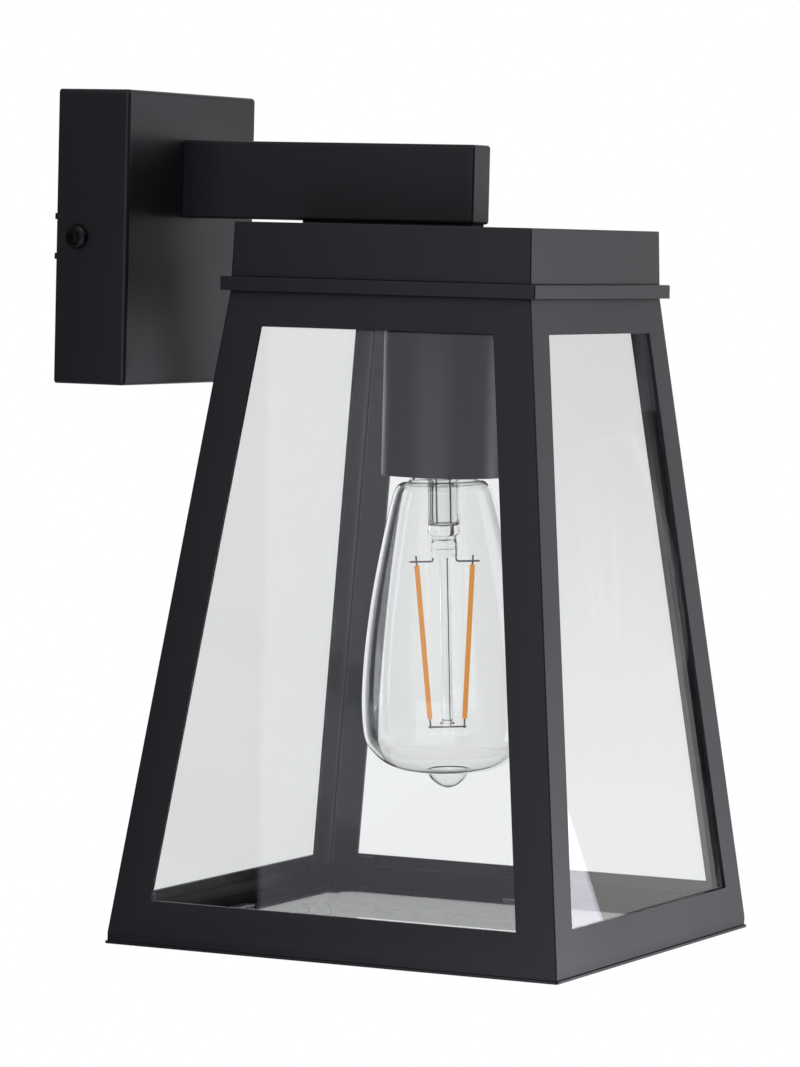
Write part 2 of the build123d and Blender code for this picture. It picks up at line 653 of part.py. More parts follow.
def frame():
    """Front frame: one tapering side of the body with its window, lip and half of each corner."""
    inner_foot = BODY_BOTTOM_HALF - SHEET
    foot = rounded_level(BODY_BOTTOM_HALF, FOOT_TOP_Z)
    outer = loft([rounded_level(half_outside(TRAY_UNDER_Z), TRAY_UNDER_Z), foot], ruled=True)
    outer += extrude(foot, FOOT_TOP_Z - BODY_BOTTOM_Z, dir=(0, 0, -1))
    inner_kink = BODY_TOP_Z - (inner_foot + SHEET * SLANT - BODY_TOP_HALF) / SLOPE
    inner = four_sided([(half_inside(LIP_UNDER_Z), LIP_UNDER_Z), (inner_foot, inner_kink),
                        (inner_foot, BODY_BOTTOM_Z - 1)])
    eye = half_inside(TRAY_UNDER_Z) - FRAME_LIP
    shell = outer - inner - four_sided([(eye, TRAY_UNDER_Z + 1), (eye, LIP_UNDER_Z - 1)])
    for x, y in head_screw_places():
        shell -= rod(HEAD_SCREW_RADIUS, (x, y, -FAR), (x, y, FAR))
    quarter = make_face(Polyline((0, 0), (-FAR, -FAR), (FAR, -FAR), close=True))
    wedge = Pos(0, 0, -FAR) * extrude(quarter, 2 * FAR, dir=(0, 0, 1))
    return (shell & wedge) - window()


def pane():
    """Front pane of clear glass."""
    top = BODY_TOP_Z - TOP_RAIL + GLASS_TOP_COVER
    bottom = BODY_BOTTOM_Z + BOTTOM_RAIL - GLASS_BOTTOM_COVER
    section = [(-pane_outside(top), top), (-pane_inside(top), top),
               (-pane_inside(bottom), bottom), (-pane_outside(bottom), bottom)]
    wide_top, wide_bottom = (pane_inside(z) - GLASS_CORNER_GAP for z in (top, bottom))
    outline = [(-wide_top, top), (wide_top, top), (wide_bottom, bottom), (-wide_bottom, bottom)]
    return prism_x(section, -FAR, FAR) & prism_y(outline, -FAR, FAR)


def lower_clips():
    """Two bent clips on the front frame that hold the pane's lower edge."""
    seat = BODY_BOTTOM_Z + BOTTOM_RAIL - GLASS_BOTTOM_COVER
    foot, under, top = seat - CLIP_LEG, seat - CLIP_SHEET, seat + CLIP_LIP
    lip = 0.2
    outline = [(half_inside(foot), foot), (half_inside(seat), seat), (pane_inside(seat) - lip, seat),
               (pane_inside(top) - lip, top), (pane_inside(top) - lip - CLIP_SHEET, top),
               (pane_inside(under) - lip - CLIP_SHEET, under),
               (half_inside(under) - CLIP_SHEET, under), (half_inside(foot) - CLIP_SHEET, foot)]
    centre = pane_inside(seat) * CLIP_SPREAD
    section = [(-half, z) for half, z in outline]
    return [prism_x(section, x - CLIP_WIDTH / 2, x + CLIP_WIDTH / 2) for x in (-centre, centre)]


def upper_clip():
    """Clip under the front frame's lip that holds the pane's upper edge."""
    top, under, foot = LIP_UNDER_Z, LIP_UNDER_Z - CLIP_SHEET, LIP_UNDER_Z - TOP_RAIL * 0.8
    lip, leg = 0.2, FRAME_LIP * 0.6
    outline = [(pane_inside(top) - lip, top), (pane_inside(foot) - lip, foot),
               (pane_inside(foot) - lip - CLIP_SHEET, foot),
               (pane_inside(under) - lip - CLIP_SHEET, under),
               (pane_inside(top) - lip - leg, under), (pane_inside(top) - lip - leg, top)]
    return prism_x([(-half, z) for half, z in outline], -CLIP_WIDTH, CLIP_WIDTH)


def base_screw_reach():
    """Distance of the base screws from the lantern's two middle planes."""
    return BODY_BOTTOM_HALF - BASE_SCREW_INSET


def corner_tab():
    """Triangular tapped gusset in one lower corner of the body."""
    corner = BODY_BOTTOM_HALF - SHEET
    outline = Polyline((corner, corner), (corner - TAB_REACH, corner), (corner, corner - TAB_REACH),
                       close=True)
    tab = Pos(0, 0, BODY_BOTTOM_Z) * extrude(make_face(outline), TAB_THICKNESS, dir=(0, 0, 1))
    reach = base_screw_reach()
    return tab - rod(BASE_SCREW_RADIUS + RUNNING_CLEARANCE, (reach, reach, -FAR), (reach, reach, FAR))


# ---------------------------------------------------------------- base tray
def base_plate():
    """Square bottom plate with a large opening, a locating rim and four screw holes."""
    half = BODY_BOTTOM_HALF + BASE_OVERHANG
    opening = BODY_BOTTOM_HALF - BASE_LEDGE
    sketch = RectangleRounded(2 * half, 2 * half, BASE_CORNER_RADIUS)
    sketch -= RectangleRounded(2 * opening, 2 * opening, BASE_OPENING_RADIUS)
    plate = Pos(0, 0, BASE_UNDER_Z) * extrude(sketch, BASE_SHEET)
    rim_out = BODY_BOTTOM_HALF - SHEET - RIM_GAP
    length = BODY_BOTTOM_HALF * RIM_LENGTH_SHARE
    for turn in range(4):
        rim_z = (BASE_TOP_Z, BASE_TOP_Z + RIM_HEIGHT)
        rim = block((-length, length), (-rim_out, BASE_SHEET - rim_out), rim_z)
        plate += Rot(0, 0, 90 * turn) * rim
    reach = base_screw_reach()
    for x in (-reach, reach):
        for y in (-reach, reach):
            plate -= rod(BASE_SCREW_RADIUS + CLEARANCE_HOLE, (x, y, -FAR), (x, y, FAR))
    return on_axis(plate)


def base_glass_half():
    """Half width of the bottom pane."""
    return BODY_BOTTOM_HALF - BASE_LEDGE + BASE_GLASS_LAP


def base_glass():
    """Bottom pane with its corners cut off, lying on the plate's ledge."""
    half = base_glass_half()
    sketch = Rectangle(2 * half, 2 * half)
    sketch = chamfer(sketch.vertices(), BASE_GLASS_CHAMFER)
    return on_axis(Pos(0, 0, BASE_TOP_Z) * extrude(sketch, BASE_GLASS_THICKNESS))


def base_glass_clips():
    """Four bent clips that hold the bottom pane down."""
    edge, low = base_glass_half() + 0.2, BASE_TOP_Z
    over = low + BASE_GLASS_THICKNESS + 0.1
    sheet, tip, foot = BASE_CLIP_SHEET, edge - BASE_CLIP_LIP, edge + BASE_CLIP_FOOT
    outline = [(edge, low), (edge, over), (tip, over), (tip, over + sheet), (edge + sheet, over + sheet),
               (edge + sheet, low + sheet), (foot, low + sheet), (foot, low)]
    clip = prism_x([(-half, z) for half, z in outline], -BASE_CLIP_HALF_WIDTH, BASE_CLIP_HALF_WIDTH)
    return [on_axis(Rot(0, 0, 90 * turn) * clip) for turn in range(4)]


def base_screws():
    """Four low-headed screws from below into the corner tabs."""
    body = screw(BASE_SCREW_RADIUS, BASE_SCREW_LENGTH, BASE_SCREW_HEAD_RADIUS,
                 BASE_SCREW_HEAD_HEIGHT, 2.0)
    reach = base_screw_reach()
    return [on_axis(place(body, (x, y, BASE_UNDER_Z), (0, 0, -1)))
            for x in (-reach, reach) for y in (-reach, reach)]


# ---------------------------------------------------------------- lampholder
def holder_cup():
    """Plain cylindrical cup that hides the lampholder, closed above and open below."""
    inner = CUP_RADIUS - CUP_SHEET
    hole = NIPPLE_RADIUS + CLEARANCE_HOLE
    top, bottom = CUP_TOP_Z, CUP_BOTTOM_Z
    return on_axis(lathe([(hole, top), (CUP_RADIUS - CUP_TOP_EDGE, top), (CUP_RADIUS, top - CUP_TOP_EDGE),
                          (CUP_RADIUS, bottom), (inner, bottom), (inner, top - CUP_SHEET),
                          (hole, top - CUP_SHEET)]))


def holder_screw_places():
    """Places of the two screws between saddle and lampholder."""
    x, y = HOLDER_RADIUS * 0.45, HOLDER_RADIUS * 0.66
    return [(x, y), (-x, -y)]


def holder_saddle():
    """Steel saddle threaded on the hanger, with a turned-down earth tag."""
    saddle = rod(SADDLE_RADIUS, (0, 0, SADDLE_UNDER_Z), (0, 0, SADDLE_TOP_Z))
    saddle += rod(SADDLE_BOSS_RADIUS, (0, 0, SADDLE_TOP_Z), (0, 0, SADDLE_TOP_Z + SADDLE_BOSS_HEIGHT))
    saddle -= rod(NIPPLE_RADIUS, (0, 0, SADDLE_TOP_Z), (0, 0, FAR))
    saddle -= rod(NIPPLE_BORE_RADIUS, (0, 0, -FAR), (0, 0, FAR))
    tag_y = -CHAMBER_HALF_Y - EARTH_POCKET_DEPTH + 1
    tag = block((-3, 3), (tag_y, tag_y + 1), (SADDLE_UNDER_Z - CHAMBER_DEPTH + 2, SADDLE_UNDER_Z))
    tag -= rod(WIRE_RADIUS, (0, -FAR, wire_end_z()), (0, FAR, wire_end_z()))
    for x, y in holder_screw_places():
        saddle -= rod(1.5 + CLEARANCE_HOLE, (x, y, -FAR), (x, y, FAR))
    return on_axis(saddle + tag)


def hanger_lock_nut():
    """Thin nut that locks the saddle on the hanger."""
    bottom = SADDLE_TOP_Z + SADDLE_BOSS_HEIGHT
    nut = Pos(0, 0, bottom) * hexagon(NUT_ACROSS_FLATS, NUT_HEIGHT * 0.5)
    return on_axis(nut - rod(NIPPLE_RADIUS, (0, 0, -FAR), (0, 0, FAR)))


def holder_body():
    """Porcelain lampholder with a wiring chamber above and the bulb's socket below."""
    body = rod(HOLDER_RADIUS, (0, 0, HOLDER_BOTTOM_Z), (0, 0, SADDLE_UNDER_Z))
    body -= block((-CHAMBER_HALF_X, CHAMBER_HALF_X), (-CHAMBER_HALF_Y, CHAMBER_HALF_Y),
                  (CHAMBER_FLOOR_Z, FAR))
    body -= block((-EARTH_POCKET_HALF_X, EARTH_POCKET_HALF_X), (-CHAMBER_HALF_Y - EARTH_POCKET_DEPTH, 0),
                  (CHAMBER_FLOOR_Z, FAR))
    body -= rod(HOLDER_BORE_RADIUS, (0, 0, -FAR), (0, 0, SOCKET_TOP_Z))
    for x in terminal_rivets():
        body -= rod(1.2, (x, 0, -FAR), (x, 0, FAR))
    for x, y in holder_screw_places():
        body -= rod(1.5, (x, y, SADDLE_UNDER_Z - 10), (x, y, FAR))
    return on_axis(body)


def terminal_rivets():
    """Places along X of the two rivets through the chamber's floor."""
    return (-CHAMBER_HALF_X + 4, HOLDER_BORE_RADIUS - 1.4)


def wire_end_z():
    """Height of the wires where they run into the lampholder's terminals."""
    return CHAMBER_FLOOR_Z + CHAMBER_DEPTH * 0.4


def holder_terminals():
    """Two brass terminals on the chamber's floor, each with its rivet."""
    terminals = []
    for side, x in zip((-1, 1), terminal_rivets()):
        low, high = sorted((side * (CHAMBER_HALF_X - 7), side * (CHAMBER_HALF_X - 0.5)))
        body = block((low, high), (-3.5, 3.5), (CHAMBER_FLOOR_Z, wire_end_z() + 3.5))
        line_y = -bundle_offsets()[0][1]
        body -= rod(WIRE_RADIUS + 0.3, (-FAR, line_y, wire_end_z()), (FAR, line_y, wire_end_z()))
        body += rod(1.2, (x, 0, SOCKET_TOP_Z), (x, 0, CHAMBER_FLOOR_Z))
        terminals.append(on_axis(body))
    return terminals


def centre_contact():
    """Springy strip that meets the bulb's tip."""
    x, top, tip, sheet = terminal_rivets()[0], SOCKET_TOP_Z, CONTACT_TOP_Z + 0.3, 0.6
    outline = [(x - 1.6, top), (3, top), (5, top - 1.2), (3.2, tip), (-3.2, tip), (-3.2, tip + sheet),
               (2.7, tip + sheet), (4.3, top - 1.2), (2.7, top - sheet), (x - 1.6, top - sheet)]
    return on_axis(prism_y(outline, -2.5, 2.5))


def thread_outline(radius, depth, top, turns):
    """(radius, z) points down a rolled thread, crests inwards or outwards by the depth's sign."""
    points = []
    for turn in range(turns):
        z = top - turn * THREAD_PITCH
        points += [(radius, z), (radius + depth, z - THREAD_PITCH * 0.35),
                   (radius + depth, z - THREAD_PITCH * 0.65)]
    return points + [(radius, top - turns * THREAD_PITCH)]


def holder_shell():
    """Rolled screw shell of the socket, with the flange that carries it."""
    inner, sheet = SHELL_INNER_RADIUS, SHELL_SHEET
    top, thread_top, bottom = SOCKET_TOP_Z, SOCKET_TOP_Z - 4.0, HOLDER_BOTTOM_Z + 1
    turns = int((thread_top - bottom) / THREAD_PITCH)
    inside = thread_outline(inner, THREAD_DEPTH, thread_top, turns)
    outside = [(r + sheet, z) for r, z in inside]
    end = inside[-1][1]
    outer, rim = inner + sheet, end - SHELL_RIM
    outline = [(inner, top), (inner, thread_top), *inside[1:], (inner, rim), (outer, rim), *outside[:0:-1]]
    outline += [(outer, thread_top), (outer, top - sheet),
                (HOLDER_BORE_RADIUS, top - sheet), (HOLDER_BORE_RADIUS, top)]
    return on_axis(lathe(outline))


def holder_screws():
    """Two screws through the saddle into the porcelain."""
    body = screw(1.5, SADDLE_THICKNESS + 8, 2.8, 2.0, 2.0)
    return [on_axis(Pos(x, y, SADDLE_TOP_Z) * body) for x, y in holder_screw_places()]


# ---------------------------------------------------------------- bulb
def bulb_cap():
    """Rolled screw cap of the bulb, a thin shell with its skirt round the glass neck."""
    crest, sheet = BULB_CREST_RADIUS, BULB_CAP_SHEET
    shoulder, bottom = CONTACT_TOP_Z - BULB_SHOULDER_DROP, CONTACT_TOP_Z - BULB_CAP_LENGTH
    hole = INSULATOR_RADIUS
    turns = 4
    root, skirt = crest - BULB_THREAD_DEPTH, crest + BULB_SKIRT_STEP
    outside = thread_outline(root, BULB_THREAD_DEPTH, shoulder - 1.2, turns)
    inside = [(r - sheet, z) for r, z in outside]
    skirt_top = outside[-1][1] - 0.8
    outline = [(hole, shoulder), (root, shoulder), *outside, (skirt, skirt_top), (skirt, bottom)]
    outline += [(skirt - sheet, bottom), (skirt - sheet, skirt_top - sheet)]
    outline += [*inside[::-1], (root - sheet, shoulder - sheet), (hole, shoulder - sheet)]
    return on_axis(lathe(outline))


def bulb_insulator():
    """Black glass insulator between the bulb's shell and its tip."""
    top, shoulder = CONTACT_TOP_Z - 0.8, CONTACT_TOP_Z - BULB_SHOULDER_DROP
    hole, edge, under = SOLDER_RADIUS, INSULATOR_RADIUS, shoulder - INSULATOR_THICKNESS
    return on_axis(lathe([(hole, top), (4.8, top), (edge - 0.4, shoulder), (edge, shoulder),
                          (edge, under), (hole, under)]))


def bulb_tip():
    """Solder tip of the bulb."""
    top, low = CONTACT_TOP_Z, CONTACT_TOP_Z - 4.6
    stem = SOLDER_RADIUS
    return on_axis(lathe([(0, top), (3.0, top - 0.15), (4.2, top - 0.8), (stem, top - 0.8),
                          (stem, low), (0, low)]))


def bulb_profile():
    """(radius, z) points down the glass from the neck to the tip's root, and on down the tip."""
    neck, end = CONTACT_TOP_Z - BULB_NECK_DROP, CONTACT_TOP_Z - BULB_LENGTH
    dome = end + BULB_TIP_HEIGHT
    length = neck - dome
    shares = [(0.390, -0.035), (0.395, 0.003), (0.470, 0.009), (0.530, 0.020), (0.570, 0.038),
              (0.600, 0.064), (0.642, 0.108), (0.735, 0.221), (0.860, 0.396), (0.950, 0.569), (0.992, 0.700),
              (1.000, 0.787), (0.975, 0.874), (0.900, 0.917), (0.745, 0.961), (0.550, 0.987)]
    body = [(BULB_RADIUS * r, neck - length * z) for r, z in shares] + [(BULB_TIP_RADIUS, dome)]
    tip = [(BULB_TIP_RADIUS, dome), (0.80 * BULB_TIP_RADIUS, dome - 0.45 * BULB_TIP_HEIGHT),
           (0.48 * BULB_TIP_RADIUS, dome - 0.81 * BULB_TIP_HEIGHT),
           (0.19 * BULB_TIP_RADIUS, dome - 0.97 * BULB_TIP_HEIGHT), (0, end)]
    return body, tip


def inset(line, distance):
    """Move a (radius, z) line that runs downwards towards the axis, square to itself."""
    moved = []
    for index, (r, z) in enumerate(line):
        before, after = line[max(index - 1, 0)], line[min(index + 1, len(line) - 1)]
        run = Vector(after[0] - before[0], after[1] - before[1]).normalized()
        moved.append((r + run.Y * distance, z - run.X * distance))
    return moved


def leaning(shape):
    """Turn what is drawn on the Z axis into the filaments' plane, and lean it about the bulb's neck."""
    pivot = bulb_profile()[0][0][1]
    lean = Pos(0, 0, pivot) * Rot(0, -BULB_LEAN, 0) * Pos(0, 0, -pivot)
    return on_axis(Rot(0, 0, FILAMENT_TURN) * lean * shape)


def bulb_envelope():
    """Blown glass bulb: a straight neck, a long swelling body and a drawn-off hollow tip."""
    body, tip = bulb_profile()
    inner_body, inner_tip = inset(body, BULB_GLASS), inset(tip, BULB_GLASS)
    root = (inner_tip[0][0], inner_body[-1][1])
    inner_body = [(body[0][0] - BULB_GLASS, body[0][1]), *inner_body[1:-1], root]
    inner_tip = [root, *inner_tip[1:-1], (0, tip[-1][1] + BULB_GLASS)]
    lines = [Spline(*body), Spline(*tip), Line(tip[-1], inner_tip[-1]), Spline(*inner_tip[::-1]),
             Spline(*inner_body[::-1]), Line(inner_body[0], body[0])]
    return leaning(revolve(make_face(Plane.XZ * (Curve() + lines)), Axis.Z))


def stem_levels():
    """Heights of the stem's top, tube end, press end and rod end, and of the filaments' two ends."""
    neck = CONTACT_TOP_Z - BULB_NECK_DROP
    tube = neck - STEM_TUBE_LENGTH
    filament = neck - FILAMENT_DROP
    return {"top": bulb_profile()[0][0][1], "tube": tube, "press": tube - PRESS_LENGTH,
            "rod": neck - ROD_LENGTH, "filament_top": filament,
            "filament_bottom": filament - FILAMENT_HEIGHT}


def bulb_stem():
    """Glass flare and tube, flat press, rod and bead that carry the filaments."""
    at = stem_levels()
    top, tube, outer = at["top"], at["tube"], STEM_TUBE_RADIUS
    inner = outer - STEM_TUBE_WALL
    rim = bulb_profile()[0][0][0]
    edge = rim - BULB_GLASS
    outline = [(rim, top), (edge - 0.3, top), (9.0, top - 1.6), (outer + 0.6, top - 4), (outer, top - 7),
               (outer, tube), (outer - 1.6, tube - 1.4), (0, tube - 1.4), (0, tube + 2.2)]
    outline += [(inner - 1.4, tube + 2.2), (inner, tube + 3.6), (inner, top - 7), (inner + 0.5, top - 4),
                (8.2, top - 0.8), (edge - 0.9, top + 0.6), (rim, top + 0.6)]
    half_width, half_thick = PRESS_WIDTH / 2, PRESS_THICKNESS / 2
    press = block((-half_width, half_width), (-half_thick, half_thick), (at["press"], tube + 1))
    press = fillet([e for e in press.edges() if abs((e % 0.5).Z) > 0.9], half_thick * 0.8)
    stem = lathe(outline) + press + rod(ROD_RADIUS, (0, 0, at["rod"]), (0, 0, at["press"]))
    bead = ROD_BEAD_RADIUS
    low = at["rod"]
    stem += lathe([(0, low), (bead * 0.7, low), (bead, low + 0.9), (bead * 0.8, low + 2), (0, low + 2)])
    return leaning(stem)


def filament_ends(side):
    """Upper and lower end of one filament, as (x, z) in the filaments' plane."""
    at = stem_levels()
    return ((side * FILAMENT_SPREAD_TOP, at["filament_top"]),
            (side * FILAMENT_SPREAD_BOTTOM, at["filament_bottom"]))


def bulb_filaments():
    """Two straight coated filaments that lean together towards the bottom."""
    strips = []
    for side in (-1, 1):
        (top_x, top_z), (low_x, low_z) = filament_ends(side)
        strips.append(leaning(rod(FILAMENT_RADIUS, (top_x, 0, top_z), (low_x, 0, low_z))))
    return strips


def bulb_leads():
    """Fine wires: inside the stem, out of the press to each filament, and across the rod's end."""
    at = stem_levels()
    low_z = at["rod"] - LEAD_RADIUS
    reach = FILAMENT_SPREAD_BOTTOM + LEAD_INSET
    lower = rod(LEAD_RADIUS, (-reach, 0, low_z), (reach, 0, low_z))
    leads = []
    for side in (-1, 1):
        (top_x, top_z), (foot_x, foot_z) = filament_ends(side)
        slope = (top_x - foot_x) / (top_z - foot_z)
        bar_z, press_x = top_z + LEAD_STEP, side * (PRESS_WIDTH / 2 - LEAD_INSET)
        upper = rod(LEAD_RADIUS, (press_x, 0, bar_z), (top_x + side * LEAD_BEYOND, 0, bar_z))
        upper += rod(LEAD_RADIUS, (press_x, 0, bar_z), (press_x, 0, at["press"]))
        upper += rod(LEAD_RADIUS, (top_x, 0, top_z), (top_x + slope * LEAD_PIN, 0, top_z + LEAD_PIN))
        leads.append(leaning(upper))
        lower += rod(LEAD_RADIUS, (foot_x, 0, foot_z), (foot_x - slope * LEAD_PIN, 0, foot_z - LEAD_PIN))
        inner_x = side * INNER_LEAD_SPREAD
        inner = rod(LEAD_RADIUS, (inner_x, 0, at["tube"] + 2.2), (inner_x, 0, at["top"] - 1))
        leads.append(leaning(inner))
    return [*leads, leaning(lower)]


# ---------------------------------------------------------------- wiring
def wire(points, radii):
    """Insulated wire along straight runs joined by tangent arcs."""
    path = FilletPolyline(*points, radius=radii)
    start = Plane(origin=path @ 0, z_dir=path % 0)
    section = start * Circle(WIRE_RADIUS)
    solid = sweep(section, path=path)
    expected = math.pi * WIRE_RADIUS**2 * path.length
    print("wire", "length", round(path.length, 1), "volume share", round(solid.volume / expected, 4),
          "radii", [round(radius, 1) for radius in radii])
    return solid


def bundle_offsets():
    """(sideways, upward) offsets of the live, neutral and earth wires from their common line."""
    lift = WIRE_SPACING / math.sqrt(3)
    return [(-WIRE_SPACING / 2, -lift / 2), (WIRE_SPACING / 2, -lift / 2), (0, lift)]


def wires():
    """Live, neutral and earth wires from the terminal block to the lampholder."""
    starts = [pole_places()[0], pole_places()[2], pole_places()[1]]
    pole = CHAMBER_HALF_X - HOLDER_POLE_INSET
    ends = [(-pole, 0), (pole, 0), (0, -CHAMBER_HALF_Y - EARTH_POCKET_DEPTH + 1.6)]
    low_z = block_top_z() - WIRE_INSERTION
    back_y = block_line_y()
    turn_z = wire_end_z()
    solids = []
    for (side, up), start, (end_x, end_y) in zip(bundle_offsets(), starts, ends):
        line_z, drop_y = ARM_CENTRE_Z + up, AXIS_Y - up
        end = (end_x, drop_y, turn_z) if end_x else (side, AXIS_Y + end_y, turn_z)
        jog = [(start, back_y, block_top_z() + 6.5)] if start != side else []
        jog_radius = [14.0] if jog else []
        points = [(start, back_y, low_z)] + jog + [
            (side, back_y, line_z), (side, drop_y, line_z), (side, drop_y, turn_z), end]
        solids.append(wire(points, jog_radius + [11.0, WIRE_BEND + up, WIRE_END_BEND]))
    return solids


# ---------------------------------------------------------------- build
def build_wall_plate():
    """Everything behind and in the boxed wall plate."""
    save("wall_bracket", wall_bracket())
    save("cable_grommet", cable_grommet())
    save("backplate_cover", backplate_cover())
    save("cover_screws", *cover_screws())
    save("cover_seal_washers", *cover_seal_washers())
    body, washer = earth_screw()
    save("bracket_earth_screw", body)
    save("bracket_earth_washer", washer)
    save("terminal_block", terminal_block())
    save("terminal_inserts", *terminal_inserts())
    save("terminal_clamp_screws", *clamp_screws())
    save("terminal_fixing_screw", terminal_fixing_screw())


def build_arm():
    """The arm, its fixings and the hanger."""
    save("arm_tube", arm_tube())
    save("arm_end_plug", arm_end_plug())
    save("arm_root_plate", arm_root_plate())
    save("arm_backing_plate", arm_backing_plate())
    screws, washers = arm_screws()
    save("arm_screws", *screws)
    save("arm_screw_washers", *washers)
    save("arm_gasket", arm_gasket())
    save("nipple_boss", nipple_boss())
    save("hanger_nipple", hanger_nipple())
    save("nipple_washer", nipple_washer())
    save("nipple_nut", nipple_nut())


def build_body():
    """The head, the four glazed sides and what holds them."""
    save("cap_shell", cap_shell())
    save("top_tray", top_tray())
    save("head_screws", *head_screws())
    front_frame, front_pane = frame(), pane()
    lower, upper = [], []
    for name, turn in (("front", 0), ("right", 90), ("back", 180), ("left", 270)):
        save(f"frame_{name}", on_axis(Rot(0, 0, turn) * front_frame))
        save(f"glass_{name}", on_axis(Rot(0, 0, turn) * front_pane))
        lower += [on_axis(Rot(0, 0, turn) * clip) for clip in lower_clips()]
        upper.append(on_axis(Rot(0, 0, turn) * upper_clip()))
    save("glass_clips_lower", *lower)
    save("glass_clips_upper", *upper)
    save("corner_tabs", *[on_axis(Rot(0, 0, 90 * turn) * corner_tab()) for turn in range(4)])


def build_base():
    """The removable bottom of the lantern."""
    save("base_plate", base_plate())
    save("base_glass", base_glass())
    save("base_glass_clips", *base_glass_clips())
    save("base_screws", *base_screws())


def build_lampholder():
    """The cup, the lampholder in it and its wires."""
    save("holder_cup", holder_cup())
    save("holder_saddle", holder_saddle())
    save("hanger_lock_nut", hanger_lock_nut())
    save("holder_body", holder_body())
    save("holder_terminals", *holder_terminals())
    save("holder_centre_contact", centre_contact())
    save("holder_shell", holder_shell())
    save("holder_screws", *holder_screws())
    for name, solid in zip(("wire_live", "wire_neutral", "wire_earth"), wires()):
        save(name, solid)


def build_bulb():
    """The bulb's cap and its glass with the filaments."""
    save("bulb_cap", bulb_cap())
    save("bulb_insulator", bulb_insulator())
    save("bulb_tip", bulb_tip())
    save("bulb_envelope", bulb_envelope())
    save("bulb_stem", bulb_stem())
    save("bulb_filaments", *bulb_filaments())
    save("bulb_leads", *bulb_leads())


os.makedirs("parts", exist_ok=True)
build_wall_plate()
build_arm()
build_body()
build_base()
build_lampholder()
build_bulb()
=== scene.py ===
"""Outdoor wall lantern: finishes, glassware, fasteners and studio round the fixed frame.

The frame gives every metal part its place and size. This script dresses those parts, gives the
sheet metal its softened edges, blows the bulb's glass and sets up a plain studio.
"""

from __future__ import annotations

import json
import logging
import math
from dataclasses import dataclass, field
from enum import Enum
from typing import Callable, Iterable, Sequence

import bmesh
import bpy
from mathutils import Matrix, Vector

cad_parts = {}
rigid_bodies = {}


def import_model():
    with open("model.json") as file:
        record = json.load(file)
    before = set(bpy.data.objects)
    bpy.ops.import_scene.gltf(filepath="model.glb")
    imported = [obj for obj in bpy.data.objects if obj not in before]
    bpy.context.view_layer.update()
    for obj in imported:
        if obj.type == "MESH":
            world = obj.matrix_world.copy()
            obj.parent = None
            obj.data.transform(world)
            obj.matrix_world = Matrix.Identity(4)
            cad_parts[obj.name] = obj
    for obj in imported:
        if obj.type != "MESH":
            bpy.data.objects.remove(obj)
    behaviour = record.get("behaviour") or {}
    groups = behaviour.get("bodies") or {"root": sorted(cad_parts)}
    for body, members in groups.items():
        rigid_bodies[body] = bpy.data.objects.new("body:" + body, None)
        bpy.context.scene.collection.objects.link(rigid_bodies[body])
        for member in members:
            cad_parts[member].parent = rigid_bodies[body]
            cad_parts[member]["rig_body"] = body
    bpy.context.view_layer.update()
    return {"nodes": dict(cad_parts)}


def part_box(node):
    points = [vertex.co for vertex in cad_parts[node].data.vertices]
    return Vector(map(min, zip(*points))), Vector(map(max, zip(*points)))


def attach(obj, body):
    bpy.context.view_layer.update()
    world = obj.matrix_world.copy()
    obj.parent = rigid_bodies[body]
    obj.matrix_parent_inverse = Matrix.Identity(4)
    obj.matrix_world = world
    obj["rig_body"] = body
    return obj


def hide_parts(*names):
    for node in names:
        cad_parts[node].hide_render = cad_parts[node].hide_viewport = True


log = logging.getLogger("wall_lantern")

MM = 0.001
ON_AXIS = 1e-7
WELD = 2e-6
FLAT_ANGLE = math.radians(0.4)
CREASE_ANGLE = math.radians(32)
BEVEL_ANGLE = math.radians(38)
PANE_FACE_SHARE = 0.4
Point = tuple[float, float, float]
Colour = tuple[float, float, float]
Outline = list[tuple[float, float]]
Socket = bpy.types.NodeSocket
Ring = list[bmesh.types.BMVert]


# ---------------------------------------------------------------- shared helpers
class Side(Enum):
    """The four sides of the lantern, by the names that the frame's parts end with."""

    FRONT = "front"
    RIGHT = "right"
    BACK = "back"
    LEFT = "left"


